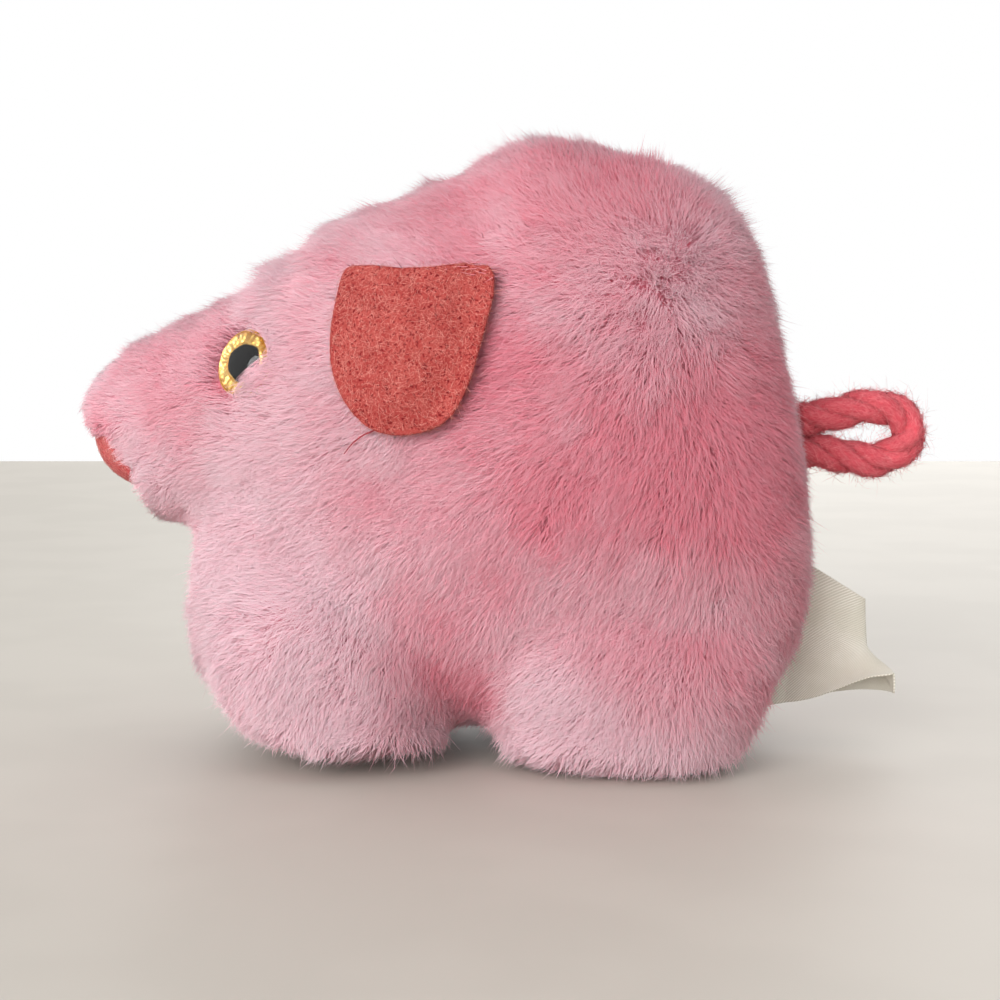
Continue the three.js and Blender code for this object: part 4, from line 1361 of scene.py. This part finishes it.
def labelMaterial():  # a woven twill: slanting ribs between paler patches
    made, tree, shader = newMaterial("wovenRibbon", 0.6, Specular_IOR_Level=0.4)
    slant = calculated(tree, "ADD", attribute(tree, "along"), attribute(tree, "down"))
    wave = calculated(tree, "SINE", calculated(tree, "MULTIPLY", slant, 13.0))
    rib = curved(tree, wave, -0.6, 0.8)
    plain = patches(tree, (200.0, 2.0, 0.5, 0.35, 0.65), srgb(222, 217, 203), srgb(236, 232, 221))["Color"]
    link(tree, mixColour(tree, rib, srgb(205, 199, 184), plain), shader.inputs["Base Color"])
    addBump(tree, shader, rib, 0.5)
    return made


def addLabel():
    points, down = labelPoints()
    columns, rows = label["columns"], label["rows"]
    faces = []
    for row in range(rows - 1):
        for column in range(columns - 1):
            low = row * columns + column
            faces += [(low, low + 1, low + 1 + columns), (low, low + 1 + columns, low + columns)]
    made = addPiece("label_ribbon", points, np.array(faces), labelMaterial())
    grid = points.reshape(rows, columns, 3)
    lengths = np.linalg.norm(np.diff(grid, axis=1), axis=2)
    run = np.concatenate([np.zeros((rows, 1)), np.cumsum(lengths, axis=1)], axis=1)
    say(f"label {run[:, -1].mean() / mm:.1f} mm long before folding")
    addFloats(made.data, "along", run.ravel() / mm)
    addFloats(made.data, "down", down * label["flat"][0] / mm)
    modify(made, "SOLIDIFY", thickness=label["thickness"], offset=0)
    bake(made)
    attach(made, "label")
    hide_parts("ribbon_label")


addLabel()
say("label")


# Threads: the stitches over each ear's root, sunk in the pile, and a loose end
threads = {
    "radius": 0.16 * mm,
    "stitches": 8,
    "row": ((-16.7, 68.5), (-2.3, 68.5)),
    "sway": 0.9,
    "sunk": 2.4 * mm,
    "end": ((392, 412), (378, 428), (362, 436), (351, 445), (344, 454)),
    "endLift": (-1.5, 0.3, 0.7, 0.8, 1.0),  # toward the camera, in mm
    "endRadii": (0.12, 0.06),
}


def threadTube(name, line, radii, look):  # a tube that turns with the line, without a twist
    tangent = unit(np.gradient(line, axis=0))
    a = np.cross(tangent[0], [0.0, 0.3, 1.0])
    ways = []
    for way in tangent:
        a = unit(a - way * (a @ way))
        ways.append((a, np.cross(way, a)))
    ways = np.array(ways)
    made = addPiece(name, *tube(line, ways[:, 0], ways[:, 1], radii, 10), look)
    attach(made, "pig")
    return made


def addStitches(side, look):
    sign = -1 if side == "left" else 1
    (x0, z0), (x1, z1) = threads["row"]
    line = []
    for step in range(threads["stitches"] + 1):
        share = step / threads["stitches"]
        x = (x0 + (x1 - x0) * share) * mm
        z = (z0 + (z1 - z0) * share + threads["sway"] * (step % 2)) * mm
        hit, normal, _, _ = faceTree.ray_cast(Vector((x, sign * 0.1, z)), Vector((0, -sign, 0)))
        line.append(np.array(hit) - np.array(normal) * threads["sunk"])
    middle = centripetal(line, 8)
    made = threadTube(f"ear_stitches_{side}", middle, np.full(len(middle), threads["radius"]), look)
    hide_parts(f"ear_thread_{side}")


def addThreadEnd(look):
    line = []
    for (x, y), lift in zip(threads["end"], threads["endLift"]):
        spot = onPileFace(x, y)
        toCamera = unit(np.array(camera["place"]) - spot)
        line.append(spot + toCamera * lift * mm)
    middle = centripetal(line, 10)
    threadTube("ear_thread_end_left", middle, np.linspace(*threads["endRadii"], len(middle)) * mm, look)


threadGrain = (3500.0, 2.0, 0.5, 0.3, 0.7)
threadLook = patchyMaterial("redThread", 0.7, threadGrain, srgb(126, 12, 28), srgb(162, 30, 46))
addStitches("left", threadLook)
addStitches("right", threadLook)
addThreadEnd(threadLook)
say("threads")


# Filling: fibre in the torso's upper part, the head and the legs, pellets low in the torso
filling = {
    "voxel": 1.5 * mm,
    "lumps": 1.1 * mm,
    "lumpSize": 7 * mm,
    "fibres": (1500, (4 * mm, 11 * mm), 0.5 * mm, 0.03 * mm),  # count, lengths, rise, radius
    "fill": 0.5,
    "pellet": (1.5 * mm, 1.15 * mm),  # half its width and half its height
    "pitch": 3.45 * mm,
    "seed": 91,
}


def addStuffing(node, look, fibreLook):
    wad = addObject(node.replace("stuffing", "fibre_wad"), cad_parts[node].data.copy())
    modify(wad, "REMESH", mode="VOXEL", voxel_size=filling["voxel"])
    bake(wad)
    points, normals, _ = meshArrays(wad.data)
    lumps = 0.5 + 0.5 * softNoise(points, filling["lumpSize"], filling["seed"])
    setPoints(wad.data, points - normals * (filling["lumps"] * lumps)[:, None])
    cover(wad.data, look)
    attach(wad, "pig")
    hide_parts(node)
    name = node.replace("stuffing", "fibre_fluff")
    fluff = addFibres(name, wad.data, fibreLook, *filling["fibres"], filling["seed"], hugs=True)
    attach(fluff, "pig")


def addPellets():
    rng = np.random.default_rng(filling["seed"])
    wide, high = filling["pellet"]
    points, _, corners = meshArrays(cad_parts["granule_filling"].data)
    tree = surfaceTree(points, corners)
    low, top = points.min(0), points.max(0)
    pitch = filling["pitch"]
    middles = []
    for layer, z in enumerate(np.arange(low[2] + wide, top[2] - wide, pitch * math.sqrt(2 / 3))):
        for row, y in enumerate(np.arange(low[1] + wide, top[1] - wide, pitch * math.sqrt(3) / 2)):
            shift = pitch * (0.5 * (row % 2) + 0.3 * (layer % 2))
            for x in np.arange(low[0] + wide + shift, top[0] - wide, pitch):
                spot, normal, _, _ = tree.find_nearest(Vector((x, y, z)))
                if (Vector((x, y, z)) - spot).dot(normal) < -wide:
                    middles.append((x, y, z))
    middles = np.array(middles) + 0.1 * mm * rng.standard_normal((len(middles), 3))
    rings = [(math.sin(a) * wide, math.cos(a) * high) for a in (math.pi / 4, math.pi / 2, 3 * math.pi / 4)]
    shape, faces = turned([(0, high), *rings, (0, -high)], 8)
    turns = np.linalg.qr(rng.standard_normal((len(middles), 3, 3)))[0]
    turns *= np.sign(np.linalg.det(turns))[:, None, None]
    verts = np.einsum("nij,kj->nki", turns, shape) + middles[:, None]
    corners = faces[None] + len(shape) * np.arange(len(middles))[:, None, None]
    look = fibreMaterial("pelletPlastic", srgb(214, 211, 202), srgb(240, 238, 232))
    made = addPiece("filling_pellets", verts.reshape(-1, 3), corners.reshape(-1, 3), look)
    addFloats(made.data, "shade", np.repeat(rng.random(len(middles)), len(shape)))
    cell = np.repeat(np.arange(len(middles)), len(shape))
    across, down = np.tile(0.5 + 0.42 * shape[:, :2] / wide, (len(middles), 1)).T
    bakeMap(made.data, corners.reshape(-1, 3), cell, across, down)
    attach(made, "pig")
    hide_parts("granule_filling")
    say(f"{len(middles)} pellets")


wadGrain = (400.0, 4.0, 0.6, 0.35, 0.65)
stuffingLook = patchyMaterial("fibreStuffing", 0.95, wadGrain, srgb(224, 222, 216), srgb(240, 239, 235))
stuffingFibreLook = fibreMaterial("stuffingFibre", srgb(226, 224, 218), srgb(246, 245, 242))
for node in ["torso_stuffing", "head_stuffing", *[leg.replace("plush", "stuffing") for leg in legNames]]:
    addStuffing(node, stuffingLook, stuffingFibreLook)
addPellets()
say("filling")


# Plain stage
stage = {"size": 2.5, "edge": 0.52, "grain": (30.0, 2.0, 0.5, 0.4, 0.6)}


def addStage():
    mesh = bpy.data.meshes.new("table")
    made = bmesh.new()
    bmesh.ops.create_grid(made, x_segments=2, y_segments=2, size=stage["size"])
    bmesh.ops.translate(made, verts=made.verts, vec=(0, stage["edge"] - stage["size"], 0))
    made.to_mesh(mesh)
    made.free()
    cover(mesh, patchyMaterial("paleTable", 0.6, stage["grain"], srgb(197, 191, 181), srgb(200, 194, 184)))
    table = addObject("table", mesh)


light = {
    "world": 0.7,
    "aim": (0, 0, 0.04),
    "lamps": [
        ("keyLamp", (-0.5, -0.93, 0.32), 0.9, 11.2),
        ("fillLamp", (-0.1, -1.1, 0.06), 0.9, 3.2),
        ("backLamp", (0.25, 1.1, 0.3), 1.0, 6.0),
    ],
}


def addLamp(name, place, size, power):
    data = bpy.data.lights.new(name, "AREA")
    data.shape = "DISK"
    data.size = size
    data.energy = power
    made = addObject(name, data)
    made.location = place
    made.rotation_euler = (Vector(light["aim"]) - Vector(place)).to_track_quat("-Z", "Y").to_euler()


def addLight():  # a bright room where the camera sees it, dimmer where it lights the pig
    world = bpy.data.worlds.new("room")
    bpy.context.scene.world = world
    world.use_nodes = True
    tree = world.node_tree
    shader = tree.nodes["Background"]
    seen = addNode(tree, "LightPath").outputs
    direct = calculated(tree, "MAXIMUM", seen["Is Camera Ray"], seen["Is Glossy Ray"])
    plain = calculated(tree, "MAXIMUM", direct, seen["Is Transmission Ray"])
    strength = addNode(tree, "MapRange", To_Min=light["world"], To_Max=1.0, Value=plain)
    link(tree, strength.outputs["Result"], shader.inputs["Strength"])
    shader.inputs["Color"].default_value = (1, 1, 1, 1)
    for lamp in light["lamps"]:
        addLamp(*lamp)


addStage()
addLight()
bpy.context.scene.view_settings.view_transform = "Standard"


def finishLeftovers():  # the CAD's own pieces that stay, each with its material
    nylonGrain = (300.0, 2.0, 0.5, 0.3, 0.7)
    washer = patchyMaterial("nylonWasher", 0.45, nylonGrain, srgb(226, 222, 212), srgb(238, 236, 228))
    looks = {"eye_lock_washer_left": washer, "eye_lock_washer_right": washer, "belly_seam_thread": threadLook}
    for node, look in looks.items():
        cover(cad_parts[node].data, look)


finishLeftovers()
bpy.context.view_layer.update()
say("done")
